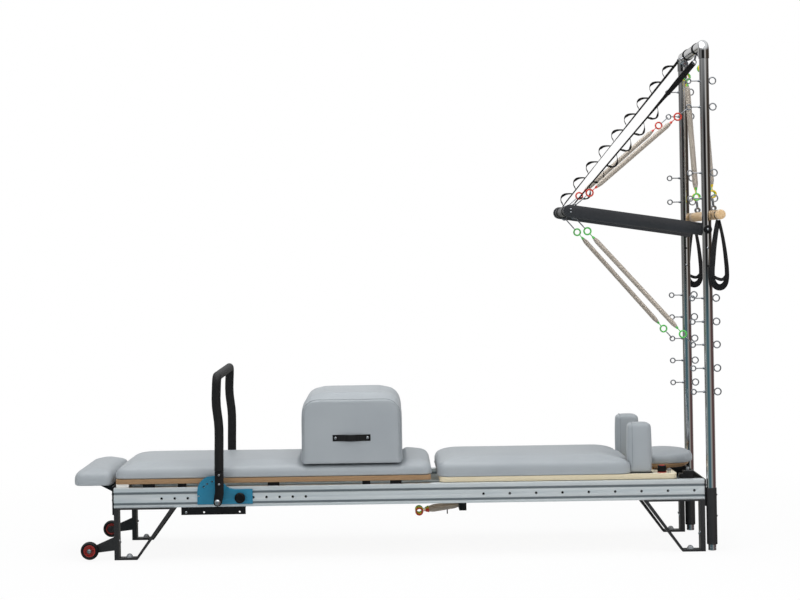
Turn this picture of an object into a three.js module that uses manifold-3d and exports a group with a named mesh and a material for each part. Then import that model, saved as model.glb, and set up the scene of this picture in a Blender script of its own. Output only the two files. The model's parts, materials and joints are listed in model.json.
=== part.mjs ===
// Pilates reformer with a half tower: rails on folded steel legs, a parked carriage, an infill mat,
// a sitting box, a tilting footbar, and a tower with a push-through bar, springs and a roll-down bar.
// Millimetres. X runs along the rails from their foot end, Y across the unit, Z up from the floor.
import * as THREE from "three";
import { mergeVertices } from "three/addons/utils/BufferGeometryUtils.js";
import Module from "manifold-3d";

const wasm = await Module();
wasm.setup();

// Driving sizes.
const railLength = 2360;
const railTop = 287;
const railHeight = 80;
const railHalfSpan = 290;
const railDepth = 40;
const postStandOff = 28;
const postInset = 9;
const postRadius = 19;
const towerHeight = 2041;
const cushionTop = 370;
const carriageLength = 951;
const carriageSetback = 104;
const footbarX = 427;
const footbarTop = 730;
const pushBarReach = 542;
const pushBarZ = 1367;
const pushBarRise = 85;

// Gaps, cutter overruns and facet counts shared by all pieces.
const clearance = 0.3;
const runningGap = 0.5;
const overrun = 5;
const mergeDistance = 0.001;
const tubeSides = 12;
const wireSides = 4;
const loopSteps = 8;
const ringSteps = 6;
const smallCornerSteps = 2;
const sides = [[-1, "near"], [1, "far"]];
const railBottom = railTop - railHeight;
const postCentreX = railLength + postStandOff;
const postHalfSpan = railHalfSpan - postInset;
const pushBarX = postCentreX - pushBarReach;
const carriageEnd = railLength - carriageSetback;
const carriageStart = carriageEnd - carriageLength;
const acrossY = new THREE.Vector3(0, 1, 0);
const upZ = new THREE.Vector3(0, 0, 1);

// Finishes.
const finish = (color, roughness, metalness) => new THREE.MeshStandardMaterial({ color, roughness, metalness });
const aluminium = finish(0xbcc5c7, 0.38, 0.85);
const blackSteel = finish(0x1e1e20, 0.45, 0.5);
const chrome = finish(0xd6d6d8, 0.12, 1);
const charcoal = finish(0x3c3d40, 0.5, 0.4);
const bluePaint = finish(0x2f7893, 0.45, 0.3);
const springSteel = finish(0x8a8078, 0.35, 0.9);
const vinyl = finish(0x9fa6aa, 0.6, 0);
const brownPly = finish(0xb98a5a, 0.6, 0);
const birchPly = finish(0xe3d5b5, 0.6, 0);
const maple = finish(0xe6c79c, 0.5, 0);
const blackGrip = finish(0x2a2a2c, 0.75, 0);
const blackWebbing = finish(0x161616, 0.9, 0);
const tyreRubber = finish(0x222222, 0.8, 0);

// Solids and geometries.
function toSolid(geometry) {
  const bare = geometry.clone();
  bare.deleteAttribute("normal");
  bare.deleteAttribute("uv");
  const merged = mergeVertices(bare, mergeDistance);
  const vertProperties = merged.attributes.position.array;
  const corners = Array.from(merged.index.array);
  const triangles = Array.from({ length: corners.length / 3 }, (_, i) => corners.slice(3 * i, 3 * i + 3));
  const triVerts = new Uint32Array(triangles.filter((triangle) => new Set(triangle).size === 3).flat());
  const mesh = new wasm.Mesh({ numProp: 3, vertProperties, triVerts });
  mesh.merge();
  return new wasm.Manifold(mesh);
}

function fromSolid(solid) {
  const { vertProperties, triVerts } = solid.getMesh();
  const geometry = new THREE.BufferGeometry();
  geometry.setAttribute("position", new THREE.BufferAttribute(new Float32Array(vertProperties), 3));
  geometry.setIndex(Array.from(triVerts));
  return geometry;
}

const join = (pieces) => fromSolid(pieces.map(toSolid).reduce((sum, piece) => sum.add(piece)));

const cut = (base, tools) => fromSolid(tools.map(toSolid).reduce((rest, tool) => rest.subtract(tool), toSolid(base)));

// Basic forms.
const vec = (x, y, z) => new THREE.Vector3(x, y, z);
const along = (from, to) => to.clone().sub(from).normalize();
const offset = (point, direction, distance) => point.clone().addScaledVector(direction, distance);
const acrossSpan = (side, inner, outer) => (side < 0 ? [-outer, -inner] : [inner, outer]);

function block([x0, x1], [y0, y1], [z0, z1]) {
  const geometry = new THREE.BoxGeometry(x1 - x0, y1 - y0, z1 - z0);
  return geometry.translate((x0 + x1) / 2, (y0 + y1) / 2, (z0 + z1) / 2);
}

function barrel(from, to, radius, facets = tubeSides, endRadius = radius) {
  const geometry = new THREE.CylinderGeometry(endRadius, radius, from.distanceTo(to), facets);
  const turn = new THREE.Quaternion().setFromUnitVectors(acrossY, along(from, to));
  const middle = from.clone().lerp(to, 1 / 2);
  return geometry.applyQuaternion(turn).translate(middle.x, middle.y, middle.z);
}

const crossBarrel = (x, z, [y0, y1], radius, facets) => barrel(vec(x, y0, z), vec(x, y1, z), radius, facets);

function ring(centre, normal, radius, wire) {
  const geometry = new THREE.TorusGeometry(radius, wire, wireSides, ringSteps);
  const turn = new THREE.Quaternion().setFromUnitVectors(upZ, normal.clone().normalize());
  return geometry.applyQuaternion(turn).translate(centre.x, centre.y, centre.z);
}

function wound(points, clockwise) {
  const line = points.map(([u, v]) => new THREE.Vector2(u, v));
  return THREE.ShapeUtils.isClockWise(line) === clockwise ? line : line.reverse();
}

const shapeOf = (points) => new THREE.Shape(wound(points, false));

function pierced(points, holes) {
  const shape = shapeOf(points);
  holes.forEach((hole) => shape.holes.push(new THREE.Path(wound(hole, true))));
  return shape;
}

// An outline in X and Z, extruded across Y.
function sidePlate(shape, [y0, y1]) {
  const geometry = new THREE.ExtrudeGeometry(shape, { depth: y1 - y0, bevelEnabled: false });
  return geometry.rotateX(Math.PI / 2).translate(0, y1, 0);
}

// An outline in Y and Z, extruded along X.
function lengthBar(shape, [x0, x1]) {
  const geometry = new THREE.ExtrudeGeometry(shape, { depth: x1 - x0, bevelEnabled: false });
  const basis = new THREE.Matrix4().makeBasis(acrossY, upZ, vec(1, 0, 0));
  return geometry.applyMatrix4(basis).translate(x0, 0, 0);
}

// An outline in X and Y, extruded along Z.
function floorPlate(shape, [z0, z1]) {
  return new THREE.ExtrudeGeometry(shape, { depth: z1 - z0, bevelEnabled: false }).translate(0, 0, z0);
}

// Points of an arc round (u, v), from one angle to another in degrees.
function arc(u, v, radius, start, end, steps) {
  return Array.from({ length: steps + 1 }, (_, i) => {
    const angle = THREE.MathUtils.degToRad(start + ((end - start) * i) / steps);
    return [u + radius * Math.cos(angle), v + radius * Math.sin(angle)];
  });
}

const circle = (u, v, radius, steps) => arc(u, v, radius, 0, 360, steps).slice(0, steps);

// A curve that goes only through its own stations, so that straight runs cost one step.
class StationCurve extends THREE.Curve {
  constructor(stations) {
    super();
    this.stations = stations;
  }

  stationAt(u) {
    return this.stations[Math.round(u * (this.stations.length - 1))];
  }

  getPointAt(u) {
    return this.stationAt(u).point.clone();
  }

  getTangentAt(u) {
    return this.stationAt(u).tangent.clone();
  }
}

function rod(stations, radius, facets) {
  const extrudePath = new StationCurve(stations);
  const section = shapeOf(circle(0, 0, radius, facets));
  return new THREE.ExtrudeGeometry(section, { steps: stations.length - 1, extrudePath });
}

// A tube along a polyline whose corners are arcs.
function bentTube(points, bendRadius, radius, facets, bendSteps) {
  const stations = [{ point: points[0], tangent: along(points[0], points[1]) }];
  for (let i = 1; i < points.length - 1; i += 1) {
    const before = along(points[i - 1], points[i]);
    const after = along(points[i], points[i + 1]);
    const turn = before.angleTo(after);
    const start = offset(points[i], before, -bendRadius * Math.tan(turn / 2));
    const inward = offset(after, before, -after.dot(before)).normalize();
    const centre = offset(start, inward, bendRadius);
    const steps = Math.max(1, Math.round((bendSteps * turn) / (Math.PI / 2)));
    for (let k = 0; k <= steps; k += 1) {
      const angle = (turn * k) / steps;
      const spoke = offset(offset(centre, inward, -bendRadius * Math.cos(angle)), before, bendRadius * Math.sin(angle));
      const tangent = before.clone().multiplyScalar(Math.cos(angle)).addScaledVector(inward, Math.sin(angle));
      stations.push({ point: spoke, tangent });
    }
  }
  const last = points.length - 1;
  stations.push({ point: points[last], tangent: along(points[last - 1], points[last]) });
  return rod(stations, radius, facets);
}

// A closed long link between two points, lying in the plane of its length and the width direction.
const linkEndShares = [[0.6, 1], [0, 0.55], [0, -0.55], [0.6, -1]];
function wireLink(from, to, widthDirection, halfWidth, wire) {
  const direction = along(from, to);
  const points = [[from, 1], [to, -1]].flatMap(([end, sense]) => linkEndShares.map(([run, out]) => offset(
    offset(end, direction, sense * run * halfWidth), widthDirection, sense * out * halfWidth,
  )));
  const loop = [...points, points[0]];
  const count = points.length;
  const stations = loop.map((point, i) => ({
    point,
    tangent: along(points[(i + count - 1) % count], points[(i + 1) % count]),
  }));
  return new THREE.TubeGeometry(new StationCurve(stations), count, wire, wireSides, true);
}

// A closed form lofted through drawn-in copies of one plan, each at its own height.
function pillow(planAt, levels) {
  const rings = levels.map(([inset, z]) => planAt(inset).map(([x, y]) => [x, y, z]));
  const count = rings[0].length;
  const ends = [rings[0], rings[rings.length - 1]];
  const hubs = ends.map((points) => [0, 1, 2].map((k) => points.reduce((sum, p) => sum + p[k], 0) / count));
  const positions = [...rings.flat(), ...hubs].flat();
  const index = [];
  const topStart = (rings.length - 1) * count;
  const bottomHub = rings.length * count;
  for (let j = 0; j < count; j += 1) {
    const next = (j + 1) % count;
    for (let i = 0; i < rings.length - 1; i += 1) {
      const low = i * count;
      const high = low + count;
      index.push(low + j, low + next, high + next, low + j, high + next, high + j);
    }
    index.push(bottomHub, next, j, bottomHub + 1, topStart + j, topStart + next);
  }
  const geometry = new THREE.BufferGeometry();
  geometry.setAttribute("position", new THREE.Float32BufferAttribute(positions, 3));
  geometry.setIndex(index);
  return geometry;
}

// Corner arcs of a rectangle with rounded corners, drawn in by an inset, anticlockwise from above.
function roundedPlan([x0, x1], [y0, y1], radius, steps = 3) {
  return (inset) => {
    const r = Math.max(radius - inset, clearance);
    const [left, right, low, high] = [x0 + inset + r, x1 - inset - r, y0 + inset + r, y1 - inset - r];
    return [
      ...arc(left, low, r, 180, 270, steps),
      ...arc(right, low, r, 270, 360, steps),
      ...arc(right, high, r, 0, 90, steps),
      ...arc(left, high, r, 90, 180, steps),
    ];
  };
}

// Levels of an upholstered pad: drawn-in bottom seam, plump side, rolled edge and crown.
const rollShares = [[1, 0], [0.3, 0.3], [0, 1]];
function padLevels(bottom, top, { seam, roll, crown, crownReach }) {
  const edge = top - crown;
  const rolled = rollShares.map(([insetShare, dropShare]) => [insetShare * roll, edge - dropShare * roll]).reverse();
  return [[seam, bottom], [0, bottom + seam], ...rolled, [crownReach, top]];
}

const unit = new THREE.Group();

function add(name, material, pieces) {
  const mesh = new THREE.Mesh(pieces.length > 1 ? join(pieces) : pieces[0], material);
  mesh.name = name;
  unit.add(mesh);
}

// Rails: an extrusion with two outer grooves, an inner wheel track and a row of index holes at each end.
const lipHeight = 10;
const lowGrooveTop = 20;
const highGrooveBottom = 53;
const highGrooveTop = 61;
const grooveDepth = 3;
const webThickness = 14;
const flangeThickness = 5;
const trackTop = 30;
const footFlangeWidth = 30;
const indexHoleRise = 36;
const indexHoleZ = railBottom + indexHoleRise;
const indexHoleRadius = 4;
const indexHoleDepth = 11;
const indexHoleSides = 6;
const footHoles = { first: 192, pitch: 52.5, count: 12 };
const headHoleSetback = 881;
const headHoles = { first: railLength - headHoleSetback, pitch: 105, count: 9 };
const trackZ = railBottom + trackTop;
const railProfile = [
  [0, 0], [0, lipHeight], [grooveDepth, lipHeight], [grooveDepth, lowGrooveTop], [0, lowGrooveTop],
  [0, highGrooveBottom], [grooveDepth, highGrooveBottom], [grooveDepth, highGrooveTop], [0, highGrooveTop],
  [0, railHeight], [railDepth, railHeight], [railDepth, railHeight - flangeThickness],
  [webThickness, railHeight - flangeThickness], [webThickness, trackTop], [railDepth, trackTop],
  [railDepth, trackTop - flangeThickness], [webThickness, trackTop - flangeThickness],
  [webThickness, flangeThickness], [footFlangeWidth, flangeThickness], [footFlangeWidth, 0],
];
const holePlaces = [footHoles, headHoles].flatMap(({ first, pitch, count }) =>
  Array.from({ length: count }, (_, i) => first + i * pitch));
for (const [side, label] of sides) {
  const section = railProfile.map(([inward, z]) => [side * (railHalfSpan - inward), railBottom + z]);
  const drills = holePlaces.map((x) => crossBarrel(
    x, indexHoleZ, acrossSpan(side, railHalfSpan - indexHoleDepth, railHalfSpan + overrun), indexHoleRadius, indexHoleSides,
  ));
  add(`${label}_rail`, aluminium, [cut(lengthBar(shapeOf(section), [0, railLength]), drills)]);
}

// Foot end plate, with the flange and two gussets that carry the foot pad.
const plateThickness = 6;
const endPlateBottom = 180;
const padFlangeLength = 70;
const padFlangeThickness = 5;
const padBottom = 295;
const gussetDrop = 40;
const gussetThickness = 5;
const gussetInset = 100;
const gussetHalfSpan = railHalfSpan - gussetInset;
const footPlateX = [-plateThickness - clearance, -clearance];
const gussetOutline = [
  [footPlateX[0] + gussetThickness / 2, padBottom - gussetDrop],
  [footPlateX[0] + gussetThickness / 2, padBottom - padFlangeThickness / 2],
  [footPlateX[0] - padFlangeLength, padBottom - padFlangeThickness / 2],
];
add("foot_end_plate", blackSteel, [
  block(footPlateX, [-railHalfSpan, railHalfSpan], [endPlateBottom, padBottom]),
  block(
    [footPlateX[0] - padFlangeLength, footPlateX[1]],
    [-gussetHalfSpan - gussetThickness, gussetHalfSpan + gussetThickness],
    [padBottom - padFlangeThickness, padBottom],
  ),
  ...sides.map(([side]) => sidePlate(
    shapeOf(gussetOutline), acrossSpan(side, gussetHalfSpan - gussetThickness, gussetHalfSpan),
  )),
]);

// Head end plate, with an arm inside each rail that ends in the carriage stop.
const stopSideGap = 1;
const stopHalfSpan = railHalfSpan - railDepth - stopSideGap;
const stopArmThickness = 20;
const stopBlockWidth = 40;
const stopGap = 12;
const stopX = carriageEnd + stopGap;
const stopStepLength = 15;
const stopStepTop = 305;
const stopBlockLength = 55;
const stopBlockTop = 334;
const stopArmBottom = 245;
const headPlateX = [railLength + clearance, railLength + clearance + plateThickness];
const headArmTop = railTop - plateThickness / 2;
add("head_end_plate", blackSteel, [
  block(headPlateX, [-railHalfSpan, railHalfSpan], [endPlateBottom, railTop]),
  ...sides.flatMap(([side]) => [
    block([stopX, headPlateX[1]], acrossSpan(side, stopHalfSpan - stopArmThickness, stopHalfSpan), [stopArmBottom, headArmTop]),
    block([stopX, stopX + stopBlockLength], acrossSpan(side, stopHalfSpan - stopBlockWidth, stopHalfSpan), [stopArmBottom, stopStepTop]),
    block(
      [stopX + stopStepLength, stopX + stopBlockLength],
      acrossSpan(side, stopHalfSpan - stopBlockWidth, stopHalfSpan), [stopArmBottom, stopBlockTop],
    ),
  ]),
]);

// Legs: a folded flat steel frame of upright, foot plate and brace, with a domed leveller on the foot plate.
const legProud = 6;
const legHalfSpan = railHalfSpan + legProud;
const legWidth = 50;
const uprightWidth = 20;
const footPlateLength = 92;
const footPlateThickness = 8;
const braceReach = 240;
const braceFootInset = 6;
const legFlange = 6;
const legTop = railBottom - clearance;
const levellerX = 58;
const levellerRadius = 13;
const levellerHeight = 9;
const levellerSides = 8;
// Transport wheels on a bracket of the foot end legs.
const wheelX = -96;
const wheelRadius = 36;
const wheelZ = 42;
const wheelWidth = 28;
const hubRadius = 15;
const hubDish = 5;
const axleRadius = 6;
const axleCapRadius = 11;
const axleCapThickness = 3;
const bracketThickness = 8;
const bracketTail = { low: 39, high: 93 };
const bracketNose = 15;
const wheelSides = 16;
const braceRun = braceReach - footPlateLength;
const braceSlope = braceRun / legTop;
const windowTop = legTop - legFlange;
const windowFoot = footPlateLength - braceFootInset;
const legOutline = [[0, 0], [footPlateLength, 0], [braceReach, legTop - legFlange], [braceReach, legTop], [0, legTop]];
const legWindow = [
  [uprightWidth, footPlateThickness],
  [windowFoot, footPlateThickness],
  [windowFoot + (windowTop - footPlateThickness) * braceSlope, windowTop],
  [uprightWidth, windowTop],
];
const wheelInner = legHalfSpan + clearance;
const mirroredX = (points) => points.map(([x, z]) => [railLength - x, z]);
const levellerProfile = [[0, 0], [levellerRadius, 0], [levellerRadius * Math.SQRT1_2, levellerHeight * Math.SQRT1_2], [0, levellerHeight]];

function leveller(x, y) {
  const dome = new THREE.LatheGeometry(levellerProfile.map(([r, z]) => new THREE.Vector2(r, z)), levellerSides);
  return dome.rotateX(Math.PI / 2).translate(x, y, footPlateThickness - clearance);
}

const bracketNoseOpening = 60;
function wheelBracket(side) {
  const outline = [
    [0, bracketTail.low], [uprightWidth / 2, bracketTail.low], [uprightWidth / 2, bracketTail.high], [0, bracketTail.high],
    ...arc(wheelX, wheelZ, bracketNose, bracketNoseOpening, 360 - bracketNoseOpening, loopSteps),
  ];
  const capStart = wheelInner + wheelWidth + clearance;
  return [
    sidePlate(shapeOf(outline), acrossSpan(side, legHalfSpan - bracketThickness, legHalfSpan)),
    crossBarrel(wheelX, wheelZ, acrossSpan(side, legHalfSpan - bracketThickness / 2, capStart + axleCapThickness), axleRadius, tubeSides),
    crossBarrel(wheelX, wheelZ, acrossSpan(side, capStart, capStart + axleCapThickness), axleCapRadius, tubeSides),
  ];
}

for (const [side, label] of sides) {
  const width = acrossSpan(side, legHalfSpan - legWidth, legHalfSpan);
  const levellerY = side * (legHalfSpan - legWidth / 2);
  const footLeg = sidePlate(pierced(legOutline, [legWindow]), width);
  const headLeg = sidePlate(pierced(mirroredX(legOutline), [mirroredX(legWindow)]), width);
  add(`${label}_foot_leg`, blackSteel, [footLeg, leveller(levellerX, levellerY), ...wheelBracket(side)]);
  add(`${label}_head_leg`, blackSteel, [headLeg, leveller(railLength - levellerX, levellerY)]);

  const wheelOuter = wheelInner + wheelWidth;
  const bore = axleRadius + runningGap;
  const tread = wheelRadius - hubDish / 2;
  const section = [
    [bore, wheelInner], [hubRadius, wheelInner], [tread, wheelInner + hubDish], [wheelRadius, wheelInner + 2 * hubDish],
    [wheelRadius, wheelOuter - 2 * hubDish], [tread, wheelOuter - hubDish], [hubRadius, wheelOuter], [bore, wheelOuter],
  ];
  const outline = [...section, section[0]].map(([r, y]) => new THREE.Vector2(r, y));
  const turned = new THREE.LatheGeometry(side > 0 ? outline : outline.map((p) => new THREE.Vector2(p.x, -p.y)).reverse(), wheelSides);
  add(`${label}_transport_wheel`, tyreRubber, [turned.translate(wheelX, 0, wheelZ)]);
}

// Tower sleeves on the head end plate, each a cup on a round levelling foot.
const sleeveWall = 1.5;
const sleeveTop = 252;
const sleeveBottom = 27;
const sleeveFloor = 6;
const sleeveFootRadius = 11;
const sleeveFootBottom = 3;
const sleeveBore = postRadius + runningGap;
const sleeveRadius = sleeveBore + sleeveWall;
const postSides = 12;
for (const [side, label] of sides) {
  const y = side * postHalfSpan;
  const at = (z) => vec(postCentreX, y, z);
  const cup = cut(
    barrel(at(sleeveBottom), at(sleeveTop), sleeveRadius, postSides),
    [barrel(at(sleeveBottom + sleeveFloor), at(sleeveTop + overrun), sleeveBore, postSides)],
  );
  const tip = barrel(at(sleeveFootBottom), at(sleeveBottom + sleeveFloor / 2), sleeveFootRadius, postSides);
  add(`${label}_tower_sleeve`, blackSteel, [cup, tip]);
}

// Tower posts with an eyebolt on each side at nine heights, and a bore for the push-through bar's pivot.
const eyeHeightShares = [0.311, 0.357, 0.403, 0.448, 0.494, 0.689, 0.739, 0.868, 0.919];
const eyeHeights = eyeHeightShares.map((share) => share * towerHeight);
const eyeWire = 2.4;
const stemRadius = 3;
const footEye = { reach: 63, radius: 9.5 };
const headEye = { reach: 32, radius: 13.5 };
const upperSpringEye = 7;
const lowerSpringEye = 2;
const pivotZ = pushBarZ - pushBarRise;
const pivotRadius = 6;
const spareHoleDrops = [136, 186];
const spareHoleRadius = 4;
const spareHoleDepth = 6;
const crossbarRadius = 21.5;
const crossbarSleeve = 76;
const crossbarBend = 32;
const crossbarZ = towerHeight - crossbarRadius;
const crossbarLegBottom = towerHeight - crossbarSleeve;

function eyebolt(y, z) {
  const stemStart = vec(postCentreX - postRadius + stemRadius, y, z);
  const stemEnd = vec(postCentreX - footEye.reach + footEye.radius, y, z);
  return [
    barrel(stemStart, stemEnd, stemRadius, wireSides),
    ring(vec(postCentreX - footEye.reach, y, z), acrossY, footEye.radius, eyeWire),
    ring(vec(postCentreX + headEye.reach, y, z), acrossY, headEye.radius, eyeWire),
  ];
}

for (const [side, label] of sides) {
  const y = side * postHalfSpan;
  const shaft = barrel(
    vec(postCentreX, y, sleeveBottom + sleeveFloor + clearance), vec(postCentreX, y, crossbarLegBottom - clearance), postRadius, postSides,
  );
  const surface = postHalfSpan + postRadius;
  const drills = [
    crossBarrel(postCentreX, pivotZ, acrossSpan(side, postHalfSpan - postRadius - overrun, surface + overrun), pivotRadius + runningGap),
    ...spareHoleDrops.map((drop) => crossBarrel(
      postCentreX, pivotZ - drop, acrossSpan(side, surface - spareHoleDepth, surface + overrun), spareHoleRadius, indexHoleSides,
    )),
  ];
  const eyes = eyeHeights.flatMap((z) => eyebolt(y, z));
  add(`${label}_post`, chrome, [cut(shaft, drills), ...eyes]);
}

// Top crossbar: a bent tube over both posts, with four spring eyes below it.
const yellowInset = 67;
const greenInset = 93;
const yellowHalfSpan = postHalfSpan - yellowInset;
const greenHalfSpan = postHalfSpan - greenInset;
const hangingSprings = [["yellow", yellowHalfSpan], ["green", greenHalfSpan]];
const barEyeRadius = 9;
const crossbarEyeZ = crossbarZ - crossbarRadius - barEyeRadius;
const crossbarBendSteps = 4;
const crossbarRoute = [
  vec(postCentreX, -postHalfSpan, crossbarLegBottom),
  vec(postCentreX, -postHalfSpan, crossbarZ),
  vec(postCentreX, postHalfSpan, crossbarZ),
  vec(postCentreX, postHalfSpan, crossbarLegBottom),
];
const hangingYs = sides.flatMap(([side]) => hangingSprings.map(([, halfSpan]) => side * halfSpan));
add("top_crossbar", chrome, [
  bentTube(crossbarRoute, crossbarBend, crossbarRadius, postSides, crossbarBendSteps),
  ...hangingYs.map((y) => ring(vec(postCentreX, y, crossbarEyeZ), acrossY, barEyeRadius, eyeWire)),
]);

// Spring bar on two drilled angles under the rails.
const gearRailX = [270, 528];
const gearRailDrop = 31;
const gearRailThickness = 4;
const gearRailFlange = 28;
const gearHoles = { first: 290, pitch: 71.3, count: 4 };
const gearHoleDrop = 21;
const gearHoleRadius = 4;
const gearBarSteps = 2;
const gearBarRadius = 8;
const gearPegRadius = 3;
const gearRailTop = railBottom - clearance;
const gearHoleZ = railBottom - gearHoleDrop;
const gearHoleX = (i) => gearHoles.first + i * gearHoles.pitch;
const gearInner = railHalfSpan - gearRailThickness;
for (const [side, label] of sides) {
  const angle = [
    [railHalfSpan, gearRailTop], [railHalfSpan - gearRailFlange, gearRailTop],
    [railHalfSpan - gearRailFlange, gearRailTop - gearRailThickness],
    [gearInner, gearRailTop - gearRailThickness],
    [gearInner, railBottom - gearRailDrop], [railHalfSpan, railBottom - gearRailDrop],
  ].map(([y, z]) => [side * y, z]);
  const drills = Array.from({ length: gearHoles.count }, (_, i) => crossBarrel(
    gearHoleX(i), gearHoleZ, acrossSpan(side, gearInner - overrun, railHalfSpan + overrun), gearHoleRadius, indexHoleSides,
  ));
  add(`${label}_gear_rail`, blackSteel, [cut(lengthBar(shapeOf(angle), gearRailX), drills)]);
}
add("spring_bar", blackSteel, [
  crossBarrel(gearHoleX(gearBarSteps), gearHoleZ, [-gearInner + clearance, gearInner - clearance], gearBarRadius, loopSteps),
  crossBarrel(gearHoleX(gearBarSteps), gearHoleZ, [-railHalfSpan, railHalfSpan], gearPegRadius, indexHoleSides),
]);

// Upholstery: foot pad.
const footPadInset = 15;
const footPad = { start: -163, end: -8, halfWidth: railHalfSpan - footPadInset, top: 354, corner: 30 };
const padRoll = { seam: 5, roll: 20, crown: 8, crownReach: 65 };
add("foot_pad", vinyl, [
  pillow(
    roundedPlan([footPad.start, footPad.end], [-footPad.halfWidth, footPad.halfWidth], footPad.corner, smallCornerSteps),
    padLevels(padBottom + clearance, footPad.top, padRoll),
  ),
]);

// Infill mat: a plywood board on rubber feet that stand on the rails, with its cushion.
const matGap = 34;
const matOverhang = 7;
const matBoardInset = 4;
const matBoard = {
  start: 8, end: carriageStart - matGap, halfWidth: railHalfSpan - matBoardInset, bottom: 302, top: 320, corner: 12,
};
const matFootShares = [0.1045, 0.5004, 0.8884];
const matFootPlaces = matFootShares.map((share) => matBoard.start + share * (matBoard.end - matBoard.start));
const matFootLength = 46;
const matFootWidth = 28;
const matFootInset = 7;
const matCushionInset = 2;
const matCushion = {
  start: matBoard.start - matOverhang, end: matBoard.end + matOverhang, halfWidth: railHalfSpan - matCushionInset, corner: 35,
};
const matRoll = { seam: 5, roll: 20, crown: 6, crownReach: 90 };
const matFeet = matFootPlaces.flatMap((x) => sides.map(([side]) => block(
  [x - matFootLength / 2, x + matFootLength / 2],
  acrossSpan(side, railHalfSpan - matFootInset - matFootWidth, railHalfSpan - matFootInset),
  [railTop + clearance, matBoard.bottom + clearance],
)));
const boardPlan = ({ start, end, halfWidth, corner }) => shapeOf(roundedPlan([start, end], [-halfWidth, halfWidth], corner)(0));
add("mat_board", brownPly, [floorPlate(boardPlan(matBoard), [matBoard.bottom, matBoard.top]), ...matFeet]);
add("mat_cushion", vinyl, [
  pillow(
    roundedPlan([matCushion.start, matCushion.end], [-matCushion.halfWidth, matCushion.halfWidth], matCushion.corner),
    padLevels(matBoard.top + clearance, cushionTop, matRoll),
  ),
]);

// Sitting box on the mat: a loaf with round upper corners and a sewn panel and a strap handle at each end.
const boxSetback = 115;
const boxLength = 400;
const boxEnd = matBoard.end - boxSetback;
const sittingBox = { start: boxEnd - boxLength, end: boxEnd, halfWidth: 285, height: 278, corner: 62 };
const boxCornerSteps = 4;
const boxRoll = 12;
const handleHalfLength = 76;
const handleHeight = 27;
const handleRise = 103;
const handleBulge = 9;
const handleSink = 6;
const handleSteps = 6;
const boxBottom = cushionTop + clearance;
const boxMiddle = (sittingBox.start + sittingBox.end) / 2;
function strapHandle(side) {
  const bow = Array.from({ length: handleSteps + 1 }, (_, i) => {
    const share = (2 * i) / handleSteps - 1;
    return [boxMiddle + share * handleHalfLength, side * (sittingBox.halfWidth + handleBulge * Math.sqrt(1 - share ** 2))];
  });
  const root = side * (sittingBox.halfWidth - handleSink);
  const outline = [...bow, [boxMiddle + handleHalfLength, root], [boxMiddle - handleHalfLength, root]];
  const middle = boxBottom + handleRise;
  return floorPlate(shapeOf(outline), [middle - handleHeight / 2, middle + handleHeight / 2]);
}
function loafOutline(inset) {
  const [left, right, top] = [sittingBox.start + inset, sittingBox.end - inset, boxBottom + sittingBox.height - inset];
  const radius = sittingBox.corner - inset;
  return [
    [left, boxBottom], [right, boxBottom],
    ...arc(right - radius, top - radius, radius, 0, 90, boxCornerSteps),
    ...arc(left + radius, top - radius, radius, 90, 180, boxCornerSteps),
  ];
}
const boxNearLevels = rollShares.map(([insetShare, runShare]) => [insetShare * boxRoll, runShare * boxRoll - sittingBox.halfWidth]);
const boxLevels = [...boxNearLevels, ...boxNearLevels.map(([inset, y]) => [inset, -y]).reverse()];
add("sitting_box", vinyl, [
  pillow(loafOutline, boxLevels).rotateX(Math.PI / 2),
  ...sides.map(([side]) => strapHandle(side)),
]);

// Carriage: board on four wheels that run in the rail tracks, with its cushion, rests and headrest.
const boardThickness = 19.7;
const boardRide = 2.3;
const boardInset = 20;
const carriageBoard = {
  start: carriageStart, end: carriageEnd, halfWidth: railHalfSpan - boardInset, corner: 25,
  bottom: railTop + boardRide, top: railTop + boardRide + boardThickness,
};
const footAxleInset = 95;
const headAxleInset = 106;
const axlePlaces = [carriageStart + footAxleInset, carriageEnd - headAxleInset];
const trackWheelRadius = 21.5;
const trackWheelWidth = 19;
const trackWheelSides = 16;
const stubRadius = 5;
const hangerNose = 8;
const hangerHalfLength = 25;
const hangerThickness = 8;
const trackOpening = railHalfSpan - railDepth;
const hangerGap = 4;
const trackWheelGap = 2;
const stubProud = 2;
const hangerOuter = trackOpening - hangerGap;
const trackWheelInner = trackOpening + trackWheelGap;
const trackWheelZ = trackZ + clearance + trackWheelRadius;
const stubEnd = trackWheelInner + trackWheelWidth + clearance + stubProud;
const bumperInset = 55;
const bumperX = carriageEnd - bumperInset;
const bumperSideInset = 48;
const bumperHalfSpan = carriageBoard.halfWidth - bumperSideInset;
const bumperRadius = 15;
const bumperHeight = 28;
const restInset = 96;
const restLength = 94;
const restEnd = carriageEnd - restInset;
const restSideInset = 30;
const restWidth = 80;
const restOuter = carriageBoard.halfWidth - restSideInset;
const restPlaces = { start: restEnd - restLength, end: restEnd, inner: restOuter - restWidth, outer: restOuter };
const restTop = 512;
const restBase = 5;
const restCorner = 14;
const restRoll = { seam: 3, roll: 13, crown: 3, crownReach: 26 };
const pegRadius = 6;
const pegDepth = 14;
const restMiddle = { x: (restPlaces.start + restPlaces.end) / 2, y: (restPlaces.inner + restPlaces.outer) / 2 };
const pegOffset = (restPlaces.end - restPlaces.start) / 4;

function wheelHanger(x, side) {
  const bottom = trackWheelZ - hangerNose;
  const span = acrossSpan(side, hangerOuter - hangerThickness, hangerOuter);
  const outline = [
    [x - hangerHalfLength, carriageBoard.bottom + clearance], [x - hangerNose, bottom],
    [x + hangerNose, bottom], [x + hangerHalfLength, carriageBoard.bottom + clearance],
  ];
  return [
    sidePlate(shapeOf(outline), span),
    crossBarrel(x, trackWheelZ, acrossSpan(side, hangerOuter - hangerThickness / 2, stubEnd), stubRadius, loopSteps),
  ];
}

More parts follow.
